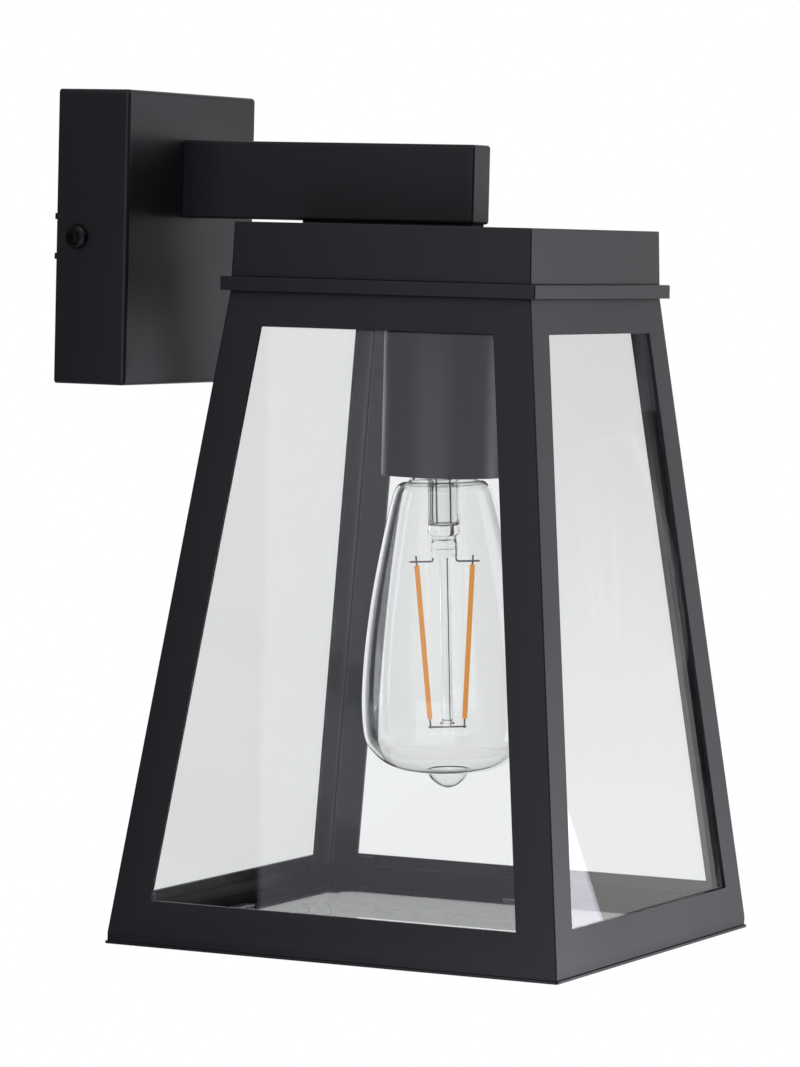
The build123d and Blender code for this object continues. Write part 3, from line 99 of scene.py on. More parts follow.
class Graph:
    """A small wrapper that adds and links the nodes of one material or world."""

    def __init__(self, tree: bpy.types.NodeTree) -> None:
        """Start on an empty node tree.

        Args:
            tree: The tree to fill.
        """
        self.tree = tree
        tree.nodes.clear()

    def add(self, kind: str, **values: object) -> bpy.types.Node:
        """Add a node and set its properties or input values.

        Args:
            kind: Blender's name for the node type.
            **values: Properties of the node, or inputs with spaces written as underscores.

        Returns:
            The new node.
        """
        node = self.tree.nodes.new(kind)
        for name, value in values.items():
            if hasattr(node, name):
                setattr(node, name, value)
            else:
                node.inputs[name.replace("_", " ")].default_value = value
        return node

    def link(self, source: Socket, target: Socket) -> None:
        """Join two sockets."""
        self.tree.links.new(source, target)

    def noise(self, scale: float, detail: float, roughness: float = 0.5) -> Socket:
        """Add a noise texture that reads Object coordinates.

        Args:
            scale: Features per metre.
            detail: Octaves of the noise.
            roughness: Strength of the finer octaves.

        Returns:
            The noise value's socket.
        """
        place = self.add("ShaderNodeTexCoord")
        node = self.add("ShaderNodeTexNoise", Scale=scale, Detail=detail, Roughness=roughness)
        self.link(place.outputs["Object"], node.inputs["Vector"])
        return node.outputs["Fac"]

    def math(self, operation: str, first: Socket, second: Socket | float) -> Socket:
        """Combine two values.

        Args:
            operation: Blender's name for the operation.
            first: First value.
            second: Second value, a socket or a plain number.

        Returns:
            The result's socket.
        """
        node = self.add("ShaderNodeMath", operation=operation)
        self.link(first, node.inputs[0])
        if isinstance(second, Socket):
            self.link(second, node.inputs[1])
        else:
            node.inputs[1].default_value = second
        return node.outputs["Value"]

    def smooth(self, source: Socket, none: float, full: float) -> Socket:
        """Fade smoothly from 0 to 1 between two values, which may fall.

        Args:
            source: The value to test.
            none: Where the result is 0.
            full: Where the result is 1.

        Returns:
            The faded value's socket.
        """
        low, high = sorted((none, full))
        start, end = (0.0, 1.0) if none < full else (1.0, 0.0)
        node = self.add("ShaderNodeMapRange", interpolation_type="SMOOTHSTEP", From_Min=low, From_Max=high,
                        To_Min=start, To_Max=end)
        self.link(source, node.inputs["Value"])
        return node.outputs["Result"]


class Surface(Graph):
    """The node tree of one material, round a single Principled surface."""

    def __init__(self, name: str, **values: object) -> None:
        """Make the material.

        Args:
            name: The material's name.
            **values: Constant inputs of the surface, with spaces written as underscores.
        """
        self.material = bpy.data.materials.new(name)
        self.material.use_nodes = True
        super().__init__(self.material.node_tree)
        self.shader = self.add("ShaderNodeBsdfPrincipled", **values)
        output = self.add("ShaderNodeOutputMaterial")
        self.link(self.shader.outputs["BSDF"], output.inputs["Surface"])

    def paint(self, pattern: Socket, dark: Sequence[float], light: Sequence[float]) -> None:
        """Colour the surface by a pattern.

        Args:
            pattern: The value that mixes the two colours.
            dark: Colour at 0.
            light: Colour at 1.
        """
        node = self.add("ShaderNodeMix", data_type="RGBA")
        node.inputs[6].default_value = (*dark, 1.0)
        node.inputs[7].default_value = (*light, 1.0)
        self.link(pattern, node.inputs[0])
        self.link(node.outputs[2], self.shader.inputs["Base Color"])

    def roughen(self, pattern: Socket, low: float, high: float) -> None:
        """Vary the roughness by a pattern.

        Args:
            pattern: The value that sets it.
            low: Roughness at 0.
            high: Roughness at 1.
        """
        node = self.add("ShaderNodeMapRange", To_Min=low, To_Max=high)
        self.link(pattern, node.inputs["Value"])
        self.link(node.outputs["Result"], self.shader.inputs["Roughness"])

    def emboss(self, pattern: Socket, strength: float, depth: float) -> None:
        """Give the surface a fine relief.

        Args:
            pattern: Its height.
            strength: Share of the effect.
            depth: Real height of the relief in metres.
        """
        node = self.add("ShaderNodeBump", Strength=strength, Distance=depth)
        self.link(pattern, node.inputs["Height"])
        self.link(node.outputs["Normal"], self.shader.inputs["Normal"])


def shaded(colour: Colour, share: float) -> Colour:
    """Darken a colour to a share of its brightness."""
    return tuple(share * channel for channel in colour)


def add_object(name: str, mesh: bpy.types.Mesh, materials: Sequence[bpy.types.Material]) -> bpy.types.Object:
    """Put a mesh into the scene with its materials.

    Args:
        name: The piece's name.
        mesh: Its mesh, in place.
        materials: Its materials in slot order.

    Returns:
        The new object.
    """
    mesh.materials.clear()
    for material in materials:
        mesh.materials.append(material)
    piece = bpy.data.objects.new(name, mesh)
    bpy.context.scene.collection.objects.link(piece)
    return piece


def mesh_from(name: str, form: bmesh.types.BMesh, smooth_angle: float = CREASE_ANGLE) -> bpy.types.Mesh:
    """Finish a bmesh as a smooth-shaded mesh with sharp creases.

    Args:
        name: The mesh's name.
        form: The bmesh, which is freed.
        smooth_angle: Faces that meet at more than this stay sharp.

    Returns:
        The finished mesh.
    """
    mesh = bpy.data.meshes.new(name)
    form.to_mesh(mesh)
    form.free()
    mesh.shade_smooth()
    mesh.set_sharp_from_angle(angle=smooth_angle)
    return mesh


def ring_of(form: bmesh.types.BMesh, steps: int, place: Callable[[float], Sequence[float]]) -> Ring:
    """Add a closed ring of points.

    Args:
        form: The bmesh to add it to.
        steps: Number of points.
        place: Gives a point from its turn about the ring's axis, in radians.

    Returns:
        The points in order.
    """
    return [form.verts.new(place(2 * math.pi * step / steps)) for step in range(steps)]


def spun(name: str, outline: Outline, centre: Vector, steps: int = 96) -> bpy.types.Mesh:
    """Turn a closed (radius, height) outline round an upright axis.

    Args:
        name: The mesh's name.
        outline: Closed outline; points at radius 0 lie on the axis.
        centre: Any point on the axis.
        steps: Facets round the axis.

    Returns:
        The closed mesh, its faces pointing outwards.
    """
    form = bmesh.new()
    rings = []
    for radius, height in outline:
        count = steps if radius >= ON_AXIS else 1
        reach = radius if radius >= ON_AXIS else 0.0
        rings.append(ring_of(form, count, lambda turn: (centre.x + reach * math.cos(turn),
                                                        centre.y + reach * math.sin(turn), height)))
    for here, there in zip(rings, rings[1:] + rings[:1]):
        join_rings(form, here, there)
    bmesh.ops.recalc_face_normals(form, faces=form.faces)
    return mesh_from(name, form)


def join_rings(form: bmesh.types.BMesh, here: Ring, there: Ring) -> None:
    """Skin two neighbouring rings, either of which may be a single point.

    Args:
        form: The bmesh that holds them.
        here: First ring.
        there: Second ring.
    """
    count = max(len(here), len(there))
    if count == 1:
        return
    for step in range(count):
        after = (step + 1) % count
        corners = [here[step % len(here)], here[after % len(here)],
                   there[after % len(there)], there[step % len(there)]]
        unique = list(dict.fromkeys(corners))
        if len(unique) > 2:
            form.faces.new(unique)


def smooth_line(points: Outline, samples: int) -> Outline:
    """Run a smooth curve through points.

    Args:
        points: The points to pass through.
        samples: Steps between two neighbours.

    Returns:
        The points of the curve, the given ends included.
    """
    padded = [points[0], *points, points[-1]]
    line: Outline = []
    for index in range(1, len(padded) - 2):
        p0, p1, p2, p3 = (Vector(p) for p in padded[index - 1:index + 3])
        for step in range(samples):
            t = step / samples
            here = 0.5 * (2 * p1 + (p2 - p0) * t + (2 * p0 - 5 * p1 + 4 * p2 - p3) * t * t
                          + (3 * p1 - p0 - 3 * p2 + p3) * t ** 3)
            line.append((here.x, here.y))
    line.append(points[-1])
    return line


def refine(node: bpy.types.Object, materials: Sequence[bpy.types.Material],
           bevel: float) -> bpy.types.Object:
    """Make a merged copy of a frame part with softened edges, which stands for that part.

    Args:
        node: The frame's part.
        materials: Materials of the copy.
        bevel: Width of the softened edges in metres.

    Returns:
        The copy, riding on the same body and replacing the part.
    """
    form = bmesh.new()
    form.from_mesh(node.data)
    bmesh.ops.remove_doubles(form, verts=form.verts, dist=WELD)
    bmesh.ops.dissolve_limit(form, angle_limit=FLAT_ANGLE, verts=form.verts, edges=form.edges)
    piece = add_object(f"{node.name}_finished", mesh_from(node.name, form), materials)
    if bevel > 0:
        edge = piece.modifiers.new("soft_edges", "BEVEL")
        edge.width = bevel
        edge.segments = 2
        edge.limit_method = "ANGLE"
        edge.angle_limit = BEVEL_ANGLE
        edge.use_clamp_overlap = True
        edge.harden_normals = False
    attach(piece, node["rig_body"])
    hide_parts(node.name)
    return piece


def dress(node: bpy.types.Object, material: bpy.types.Material) -> None:
    """Give a frame part that keeps its shape its finish.

    Args:
        node: The frame's part.
        material: Its finish.
    """
    node.data.materials.clear()
    node.data.materials.append(material)


# ---------------------------------------------------------------- finishes
@dataclass(frozen=True)
class PowderCoat:
    """Satin powder coat: a dark, slightly cool film with a fine orange-peel relief."""

    name: str = "powder_coat"
    dark: Colour = (0.0078, 0.0074, 0.0100)
    light: Colour = (0.0125, 0.0120, 0.0155)
    roughness: float = 0.40
    roughness_spread: float = 0.04
    specular: float = 0.55
    grain_per_metre: float = 1500.0
    clouds_per_metre: float = 22.0
    relief: float = 18e-6

    def make(self) -> bpy.types.Material:
        """Build the finish."""
        surface = Surface(self.name, Specular_IOR_Level=self.specular)
        grain = surface.noise(self.grain_per_metre, 3.0, 0.6)
        surface.paint(grain, self.dark, self.light)
        surface.roughen(surface.noise(self.clouds_per_metre, 2.0), self.roughness - self.roughness_spread,
                        self.roughness + self.roughness_spread)
        surface.emboss(grain, 0.5, self.relief)
        return surface.material


@dataclass(frozen=True)
class ClearSheetGlass:
    """Float glass seen through its faces, with a faint green body tint."""

    name: str = "float_glass"
    tint: Colour = (0.972, 0.984, 0.977)
    edge_tint: Colour = (0.16, 0.30, 0.27)
    ior: float = 1.52
    haze: float = 0.012
    edge_clearness: float = 0.55
    edge_roughness: float = 0.32

    def make(self) -> bpy.types.Material:
        """Build the faces' finish."""
        surface = Surface(self.name, Base_Color=(*self.tint, 1.0), Transmission_Weight=1.0, IOR=self.ior)
        surface.roughen(surface.noise(14.0, 3.0), 0.0, self.haze)
        return surface.material

    def make_edge(self) -> bpy.types.Material:
        """Build the ground edges' finish, where the green of the glass shows."""
        surface = Surface(f"{self.name}_edge", Transmission_Weight=self.edge_clearness, IOR=self.ior,
                          Roughness=self.edge_roughness)
        surface.paint(surface.noise(900.0, 2.0), shaded(self.edge_tint, 0.6), self.edge_tint)
        return surface.material


@dataclass(frozen=True)
class BlownGlass:
    """Thin clear glass of the bulb."""

    name: str = "bulb_glass"
    tint: Colour = (0.985, 0.988, 0.985)
    ior: float = 1.5
    wave_depth: float = 40e-6

    def make(self) -> bpy.types.Material:
        """Build the finish."""
        surface = Surface(self.name, Base_Color=(*self.tint, 1.0), Transmission_Weight=1.0, IOR=self.ior,
                          Roughness=0.0)
        surface.emboss(surface.noise(60.0, 1.5), 0.08, self.wave_depth)
        return surface.material


@dataclass(frozen=True)
class Metal:
    """Plated or plain metal with a faint cloudy variation."""

    name: str
    colour: Colour
    roughness: float = 0.3
    metallic: float = 1.0
    grain_per_metre: float = 400.0
    relief: float = 10e-6

    def make(self) -> bpy.types.Material:
        """Build the finish."""
        surface = Surface(self.name, Metallic=self.metallic)
        cloud = surface.noise(self.grain_per_metre, 3.0)
        surface.paint(cloud, shaded(self.colour, 0.86), self.colour)
        surface.roughen(cloud, self.roughness * 0.8, self.roughness * 1.25)
        surface.emboss(cloud, 0.15, self.relief)
        return surface.material


@dataclass(frozen=True)
class Solid:
    """Opaque moulded, sprayed or fired material: plastic, rubber, lacquer or porcelain."""

    name: str
    colour: Colour
    roughness: float = 0.5
    variation: float = 0.12
    grain_per_metre: float = 700.0
    relief: float = 12e-6
    coat: float = 0.0

    def make(self) -> bpy.types.Material:
        """Build the finish."""
        surface = Surface(self.name, Coat_Weight=self.coat)
        grain = surface.noise(self.grain_per_metre, 3.0)
        surface.paint(grain, shaded(self.colour, 1 - self.variation), self.colour)
        surface.roughen(grain, self.roughness * 0.92, self.roughness * 1.08)
        surface.emboss(grain, 0.25, self.relief)
        return surface.material


@dataclass(frozen=True)
class EarthInsulation:
    """Green wire insulation with its yellow stripe."""

    name: str = "wire_earth"
    green: Colour = (0.03, 0.22, 0.04)
    yellow: Colour = (0.65, 0.52, 0.04)
    roughness: float = 0.45
    stripes: float = 140.0

    def make(self) -> bpy.types.Material:
        """Build the finish."""
        surface = Surface(self.name, Roughness=self.roughness)
        place = surface.add("ShaderNodeTexCoord")
        stripe = surface.add("ShaderNodeTexWave", wave_type="BANDS", bands_direction="DIAGONAL",
                             Scale=self.stripes, Distortion=0.0)
        surface.link(place.outputs["Object"], stripe.inputs["Vector"])
        surface.paint(stripe.outputs["Fac"], self.green, self.yellow)
        return surface.material


@dataclass(frozen=True)
class Phosphor:
    """Amber coating of a filament strip, slightly uneven along its length, with a weak painted glow that
    brightens it whatever light falls on it.
    """

    name: str = "filament_phosphor"
    deep: Colour = (0.80, 0.23, 0.006)
    pale: Colour = (0.95, 0.36, 0.02)
    glow: float = 0.62
    roughness: float = 0.5
    bead_depth: float = 40e-6

    def make(self) -> bpy.types.Material:
        """Build the finish."""
        # painted glow: a constant emission in the pale amber, which lights the strips up whatever lamps
        # reach them
        surface = Surface(self.name, Roughness=self.roughness, Emission_Color=(*self.pale, 1.0),
                          Emission_Strength=self.glow)
        beads = surface.noise(850.0, 2.0)
        surface.paint(beads, self.deep, self.pale)
        surface.emboss(beads, 0.3, self.bead_depth)
        return surface.material


class FinishBook:
    """Every finish of the lantern, made once and looked up by its maker's name."""

    def __init__(self) -> None:
        """Make all the finishes."""
        glass = ClearSheetGlass()
        self.powder = PowderCoat().make()
        self.screw_black = Metal("black_oxide", (0.012, 0.012, 0.013), 0.26, 0.5).make()
        self.pane = glass.make()
        self.pane_edge = glass.make_edge()
        self.bulb_glass = BlownGlass().make()
        self.zinc = Metal("zinc_plate", (0.58, 0.59, 0.60), 0.36).make()
        self.nickel = Metal("nickel_plate", (0.66, 0.63, 0.58), 0.24).make()
        self.brass = Metal("plain_brass", (0.62, 0.43, 0.16), 0.30).make()
        self.lead = Metal("lead_wire", (0.30, 0.29, 0.28), 0.35, 0.9).make()
        self.solder = Metal("solder", (0.50, 0.50, 0.49), 0.42).make()
        self.rubber = Solid("rubber", (0.016, 0.016, 0.017), 0.72, 0.2).make()
        self.cup = Solid("charcoal_lacquer", (0.019, 0.022, 0.028), 0.36, 0.10, 1200.0, 8e-6).make()
        self.porcelain = Solid("porcelain", (0.78, 0.76, 0.70), 0.22, 0.05, 90.0, 20e-6, 0.4).make()
        self.nylon = Solid("white_nylon", (0.70, 0.70, 0.67), 0.48, 0.08).make()
        self.insulator = Solid("black_glass_seal", (0.012, 0.012, 0.014), 0.15, 0.1).make()
        self.brown = Solid("brown_insulation", (0.10, 0.035, 0.015), 0.42).make()
        self.blue = Solid("blue_insulation", (0.015, 0.07, 0.36), 0.42).make()
        self.earth = EarthInsulation().make()
        self.phosphor = Phosphor().make()


# ---------------------------------------------------------------- repeated fasteners
class FastenerPattern:
    """A Geometry Nodes tree that sets one fastener on every point, facing its own way."""

    FASTENER = "Fastener"
    SIZE = "Size"
    FINISH = "Finish"
    FACING = "facing"

    def __init__(self) -> None:
        """Build the tree."""
        tree = bpy.data.node_groups.new("fastener_pattern", "GeometryNodeTree")
        self.tree = tree
        sockets = tree.interface
        sockets.new_socket("Geometry", in_out="INPUT", socket_type="NodeSocketGeometry")
        fastener = sockets.new_socket(self.FASTENER, in_out="INPUT", socket_type="NodeSocketObject")
        size = sockets.new_socket(self.SIZE, in_out="INPUT", socket_type="NodeSocketFloat")
        size.default_value = 1.0
        finish = sockets.new_socket(self.FINISH, in_out="INPUT", socket_type="NodeSocketMaterial")
        sockets.new_socket("Geometry", in_out="OUTPUT", socket_type="NodeSocketGeometry")
        self.identifiers = {self.FASTENER: fastener.identifier, self.SIZE: size.identifier,
                            self.FINISH: finish.identifier}
        self._wire()

    def _wire(self) -> None:
        """Add and join the tree's nodes."""
        nodes = self.tree.nodes
        given, result = nodes.new("NodeGroupInput"), nodes.new("NodeGroupOutput")
        info = nodes.new("GeometryNodeObjectInfo")
        facing = nodes.new("GeometryNodeInputNamedAttribute")
        facing.data_type = "FLOAT_VECTOR"
        facing.inputs["Name"].default_value = self.FACING
        align = nodes.new("FunctionNodeAlignRotationToVector")
        align.axis = "Z"
        instance = nodes.new("GeometryNodeInstanceOnPoints")
        realize, paint = nodes.new("GeometryNodeRealizeInstances"), nodes.new("GeometryNodeSetMaterial")
        for source, output, target, entry in (
            (given, self.FASTENER, info, "Object"),
            (facing, "Attribute", align, "Vector"),
            (given, "Geometry", instance, "Points"),
            (info, "Geometry", instance, "Instance"),
            (align, "Rotation", instance, "Rotation"),
            (given, self.SIZE, instance, "Scale"),
            (instance, "Instances", realize, "Geometry"),
            (realize, "Geometry", paint, "Geometry"),
            (given, self.FINISH, paint, "Material"),
            (paint, "Geometry", result, "Geometry"),
        ):
            self.tree.links.new(source.outputs[output], target.inputs[entry])

    def place(self, name: str, fastener: bpy.types.Object, places: Sequence[tuple[Point, Point]],
              finish: bpy.types.Material) -> bpy.types.Object:
        """Set a fastener at each place and make the result one plain piece.

        Args:
            name: The piece's name.
            fastener: Template, drawn along +Z at the origin; it is removed afterwards.
            places: Pairs of a point and the direction that the fastener's head faces.
            finish: The fasteners' material.

        Returns:
            The finished piece.
        """
        points = bpy.data.meshes.new(f"{name}_places")
        points.from_pydata([point for point, _ in places], [], [])
        attribute = points.attributes.new(self.FACING, "FLOAT_VECTOR", "POINT")
        attribute.data.foreach_set("vector", [value for _, facing in places for value in facing])
        carrier = add_object(f"{name}_carrier", points, [])
        modifier = carrier.modifiers.new("pattern", "NODES")
        modifier.node_group = self.tree
        modifier[self.identifiers[self.FASTENER]] = fastener
        modifier[self.identifiers[self.SIZE]] = 1.0
        modifier[self.identifiers[self.FINISH]] = finish
        carrier.update_tag()
        bpy.context.view_layer.update()
        graph = bpy.context.evaluated_depsgraph_get()
        mesh = bpy.data.meshes.new_from_object(carrier.evaluated_get(graph))
        bpy.data.objects.remove(carrier)
        bpy.data.objects.remove(fastener)
        return add_object(name, mesh, [finish])


@dataclass(frozen=True)
class ButtonScrew:
    """Domed screw with a hexagon socket, drawn along +Z with its seat at the origin."""

    shank_radius: float
    head_radius: float
    head_height: float
    crown_radius: float
    socket_flats: float
    length: float
    STEPS = 48

    def make(self, name: str) -> bpy.types.Object:
        """Build the template screw.

        Args:
            name: The template's name.

        Returns:
            The screw's object.
        """
        dome = smooth_line([(self.crown_radius, self.head_height),
                            (0.5 * (self.crown_radius + self.head_radius), self.head_height * 0.80),
                            (self.head_radius * 0.97, self.head_height * 0.36),
                            (self.head_radius, self.head_height * 0.16), (self.head_radius, 0.0)], 5)
        form = bmesh.new()
        rings = [self._ring(form, radius, height) for radius, height in dome]
        rings.append(self._ring(form, self.shank_radius, 0.0))
        rings.append(self._ring(form, self.shank_radius, -self.length))
        for here, there in zip(rings, rings[1:]):
            join_rings(form, here, there)
        form.faces.new(rings[-1])
        self._socket(form, rings[0])
        bmesh.ops.recalc_face_normals(form, faces=form.faces)
        return add_object(name, mesh_from(name, form), [])

    def _ring(self, form: bmesh.types.BMesh, radius: float, height: float) -> Ring:
        """Add one round ring of points."""
        return ring_of(form, self.STEPS,
                       lambda turn: (radius * math.cos(turn), radius * math.sin(turn), height))

    def _hexagon(self, form: bmesh.types.BMesh, height: float, flats: float) -> Ring:
        """Add a ring of points along a hexagon.

        Args:
            form: The bmesh to add it to.
            height: Its height.
            flats: Distance between opposite flats.

        Returns:
            The ring.
        """
        def corner(turn: float) -> Point:
            """Place one point."""
            reach = 0.5 * flats / math.cos(turn % (math.pi / 3) - math.pi / 6)
            return reach * math.cos(turn), reach * math.sin(turn), height

        return ring_of(form, self.STEPS, corner)

    def _socket(self, form: bmesh.types.BMesh, crown: Ring) -> None:
        """Add the flat crown and the hexagon socket inside it.

        Args:
            form: The bmesh that holds the screw.
            crown: The crown's outer ring.
        """
        rim = self._hexagon(form, self.head_height, self.socket_flats * 1.08)
        wall = self._hexagon(form, self.head_height * 0.93, self.socket_flats)
        floor = self._hexagon(form, self.head_height * 0.30, self.socket_flats)
        for here, there in ((crown, rim), (rim, wall), (wall, floor)):
            join_rings(form, here, there)
        middle = [form.verts.new((0.0, 0.0, self.head_height * 0.18))]
        join_rings(form, floor, middle)


# ---------------------------------------------------------------- sub-assemblies
@dataclass
class Assembly:
    """Common ground of the sub-assemblies: the frame's parts, the finishes and the fastener tree."""

    nodes: dict[str, bpy.types.Object]
    finishes: FinishBook
    fasteners: FastenerPattern
    made: list[bpy.types.Object] = field(default_factory=list)

    def dress_all(self, names: Iterable[str], material: bpy.types.Material) -> None:
        """Give several frame parts one finish.

        Args:
            names: The parts' names.
            material: Their finish.
        """
        for name in names:
            dress(self.nodes[name], material)
            log.info("dressed %s with %s", name, material.name)

    def refine_all(self, names: Iterable[str], material: bpy.types.Material, bevel: float) -> None:
        """Replace several frame parts by copies with softened edges.

        Args:
            names: The parts' names.
            material: Their finish.
            bevel: Width of the softened edges in metres.
        """
        for name in names:
            self.made.append(refine(self.nodes[name], [material], bevel))
            log.info("refined %s", name)

    def glaze(self, name: str) -> None:
        """Make one pane with ground edges.

        Args:
            name: The frame part that it stands for.
        """
        piece = refine(self.nodes[name], [self.finishes.pane, self.finishes.pane_edge], 0.0)
        mark_pane_edges(piece)
        self.made.append(piece)
        log.info("glazed %s", name)

    def keep(self, piece: bpy.types.Object, body: str, *replaced: str) -> bpy.types.Object:
        """Let a new piece ride on a body in place of frame parts.

        Args:
            piece: The new piece.
            body: The body that it rides on.
            *replaced: Frame parts that it stands for.

        Returns:
            The piece.
        """
        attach(piece, body)
        if replaced:
            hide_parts(*replaced)
        self.made.append(piece)
        log.info("made %s on %s", piece.name, body)
        return piece


@dataclass
class WallPlate(Assembly):
    """The boxed cover on the wall, with the bracket, terminals and screws behind it."""

    sheet_edge: float = 0.25 * MM
    screw_head_radius: float = 4.7 * MM
    screw_crown_radius: float = 3.3 * MM
    screw_socket: float = 3.1 * MM
    screw_radius: float = 2.5 * MM
    screw_length: float = 7.5 * MM

    def build(self) -> None:
        """Dress the wall plate's parts."""
        book = self.finishes
        self.refine_all(["backplate_cover"], book.powder, self.sheet_edge)
        self.dress_all(["wall_bracket"], book.powder)
        self.dress_all(["terminal_clamp_screws", "terminal_fixing_screw"], book.zinc)
        self.dress_all(["bracket_earth_screw", "bracket_earth_washer", "terminal_inserts"], book.brass)
        self.dress_all(["cable_grommet", "cover_seal_washers"], book.rubber)
        self.dress_all(["terminal_block"], book.nylon)
        self._cover_screws()

    def _cover_screws(self) -> None:
        """Make the two domed screws in the cover's sides."""
        low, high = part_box("cover_screws")
        washer_low, washer_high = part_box("cover_seal_washers")
        middle_y, middle_z = (low.y + high.y) / 2, (low.z + high.z) / 2
        screw = ButtonScrew(self.screw_radius, self.screw_head_radius, high.x - washer_high.x,
                            self.screw_crown_radius, self.screw_socket, self.screw_length)
        places = [((washer_low.x, middle_y, middle_z), (-1.0, 0.0, 0.0)),
                  ((washer_high.x, middle_y, middle_z), (1.0, 0.0, 0.0))]
        piece = self.fasteners.place("cover_screws_finished", screw.make("cover_screw_template"), places,
                                     self.finishes.screw_black)
        self.keep(piece, "lantern", "cover_screws")


@dataclass
class Arm(Assembly):
    """The rectangular arm, whose edges the frame already rounds, its fixings and the hanger."""

    def build(self) -> None:
        """Dress the arm's parts."""
        book = self.finishes
        self.refine_all(["arm_tube", "arm_end_plug"], book.powder, 0.0)
        self.dress_all(["arm_root_plate", "arm_backing_plate", "arm_screws", "arm_screw_washers"], book.zinc)
        self.dress_all(["nipple_boss", "hanger_nipple", "nipple_washer", "nipple_nut"], book.zinc)
        self.dress_all(["arm_gasket"], book.rubber)


@dataclass
class GlazedBody(Assembly):
    """Cap, band, four frames and their panes."""

    sheet_edge: float = 0.22 * MM
    clip_edge: float = 0.15 * MM

    def build(self) -> None:
        """Dress the body's parts."""
        book = self.finishes
        self.refine_all(["cap_shell", "top_tray"], book.powder, self.sheet_edge)
        self.refine_all([f"frame_{side.value}" for side in Side], book.powder, self.sheet_edge)
        self.refine_all(["corner_tabs", "glass_clips_lower", "glass_clips_upper"], book.powder,
                        self.clip_edge)
        self.dress_all(["head_screws"], book.zinc)
        for side in Side:
            self.glaze(f"glass_{side.value}")


def mark_pane_edges(piece: bpy.types.Object) -> None:
    """Give the narrow faces of a pane its edge finish and keep all its faces flat.

    Args:
        piece: The pane.
    """
    largest = max(face.area for face in piece.data.polygons)
    for face in piece.data.polygons:
        face.use_smooth = False
        face.material_index = 0 if face.area > PANE_FACE_SHARE * largest else 1


@dataclass
class BaseTray(Assembly):
    """The removable bottom with its pane and screws."""

    sheet_edge: float = 0.2 * MM
    clip_edge: float = 0.1 * MM
    screw_radius: float = 1.5 * MM
    screw_head_radius: float = 3.0 * MM
    screw_crown_share: float = 0.62
    screw_socket: float = 2.0 * MM

    def build(self) -> None:
        """Dress the tray's parts."""
        book = self.finishes
        self.refine_all(["base_plate"], book.powder, self.sheet_edge)
        self.refine_all(["base_glass_clips"], book.zinc, self.clip_edge)
        self.glaze("base_glass")
        self._screws()

    def _screws(self) -> None:
        """Make the four low-headed screws under the plate."""
        low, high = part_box("base_screws")
        plate_low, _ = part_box("base_plate")
        radius = self.screw_head_radius
        screw = ButtonScrew(self.screw_radius, radius, plate_low.z - low.z, radius * self.screw_crown_share,
                            self.screw_socket, high.z - plate_low.z)
        places = [((x, y, plate_low.z), (0.0, 0.0, -1.0))
                  for x in (low.x + radius, high.x - radius) for y in (low.y + radius, high.y - radius)]
        piece = self.fasteners.place("base_screws_finished", screw.make("base_screw_template"), places,
                                     self.finishes.screw_black)
        self.keep(piece, "base_tray", "base_screws")


@dataclass
class Lampholder(Assembly):
    """The cylindrical cup with the porcelain lampholder and its wires."""

    cup_sheet: float = 1.0 * MM
    lip_round: float = 0.4 * MM
    shoulder_round: float = 0.8 * MM
    hole_radius: float = 5.2 * MM

    def build(self) -> None:
        """Dress the lampholder's parts."""
        book = self.finishes
        self._cup()
        self.dress_all(["holder_saddle", "hanger_lock_nut", "holder_screws"], book.zinc)
        self.dress_all(["holder_body"], book.porcelain)
        self.dress_all(["holder_terminals", "holder_centre_contact"], book.brass)
        self.dress_all(["holder_shell"], book.nickel)
        self.dress_all(["wire_live"], book.brown)
        self.dress_all(["wire_neutral"], book.blue)
        self.dress_all(["wire_earth"], book.earth)

    def _cup(self) -> None:
        """Spin the cup with a rolled lip."""
        low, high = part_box("holder_cup")
        radius, inner = (high.x - low.x) / 2, (high.x - low.x) / 2 - self.cup_sheet
        lip, shoulder = self.lip_round, self.shoulder_round
        outline = [(self.hole_radius, high.z)]
        outline += arc(radius - shoulder, high.z - shoulder, shoulder, 90, 0, 6)
        outline += arc(radius - lip, low.z + lip, lip, 0, -90, 5)
        outline += arc(inner + lip, low.z + lip, lip, -90, -180, 5)
        outline += [(inner, high.z - self.cup_sheet), (self.hole_radius, high.z - self.cup_sheet)]
        centre = (low + high) / 2
        piece = add_object("holder_cup_finished", spun("holder_cup_mesh", outline, centre, 160),
                           [self.finishes.cup])
        self.keep(piece, "lantern", "holder_cup")


def arc(centre_r: float, centre_z: float, radius: float, start: float, end: float, steps: int) -> Outline:
    """Points along an arc in a (radius, height) outline.

    Args:
        centre_r: Centre's radius.
        centre_z: Centre's height.
        radius: The arc's radius.
        start: First angle in degrees.
        end: Last angle in degrees.
        steps: Number of steps.

    Returns:
        The arc's points, both ends included.
    """
    points: Outline = []
    for step in range(steps + 1):
        turn = math.radians(start + (end - start) * step / steps)
        points.append((centre_r + radius * math.cos(turn), centre_z + radius * math.sin(turn)))
    return points


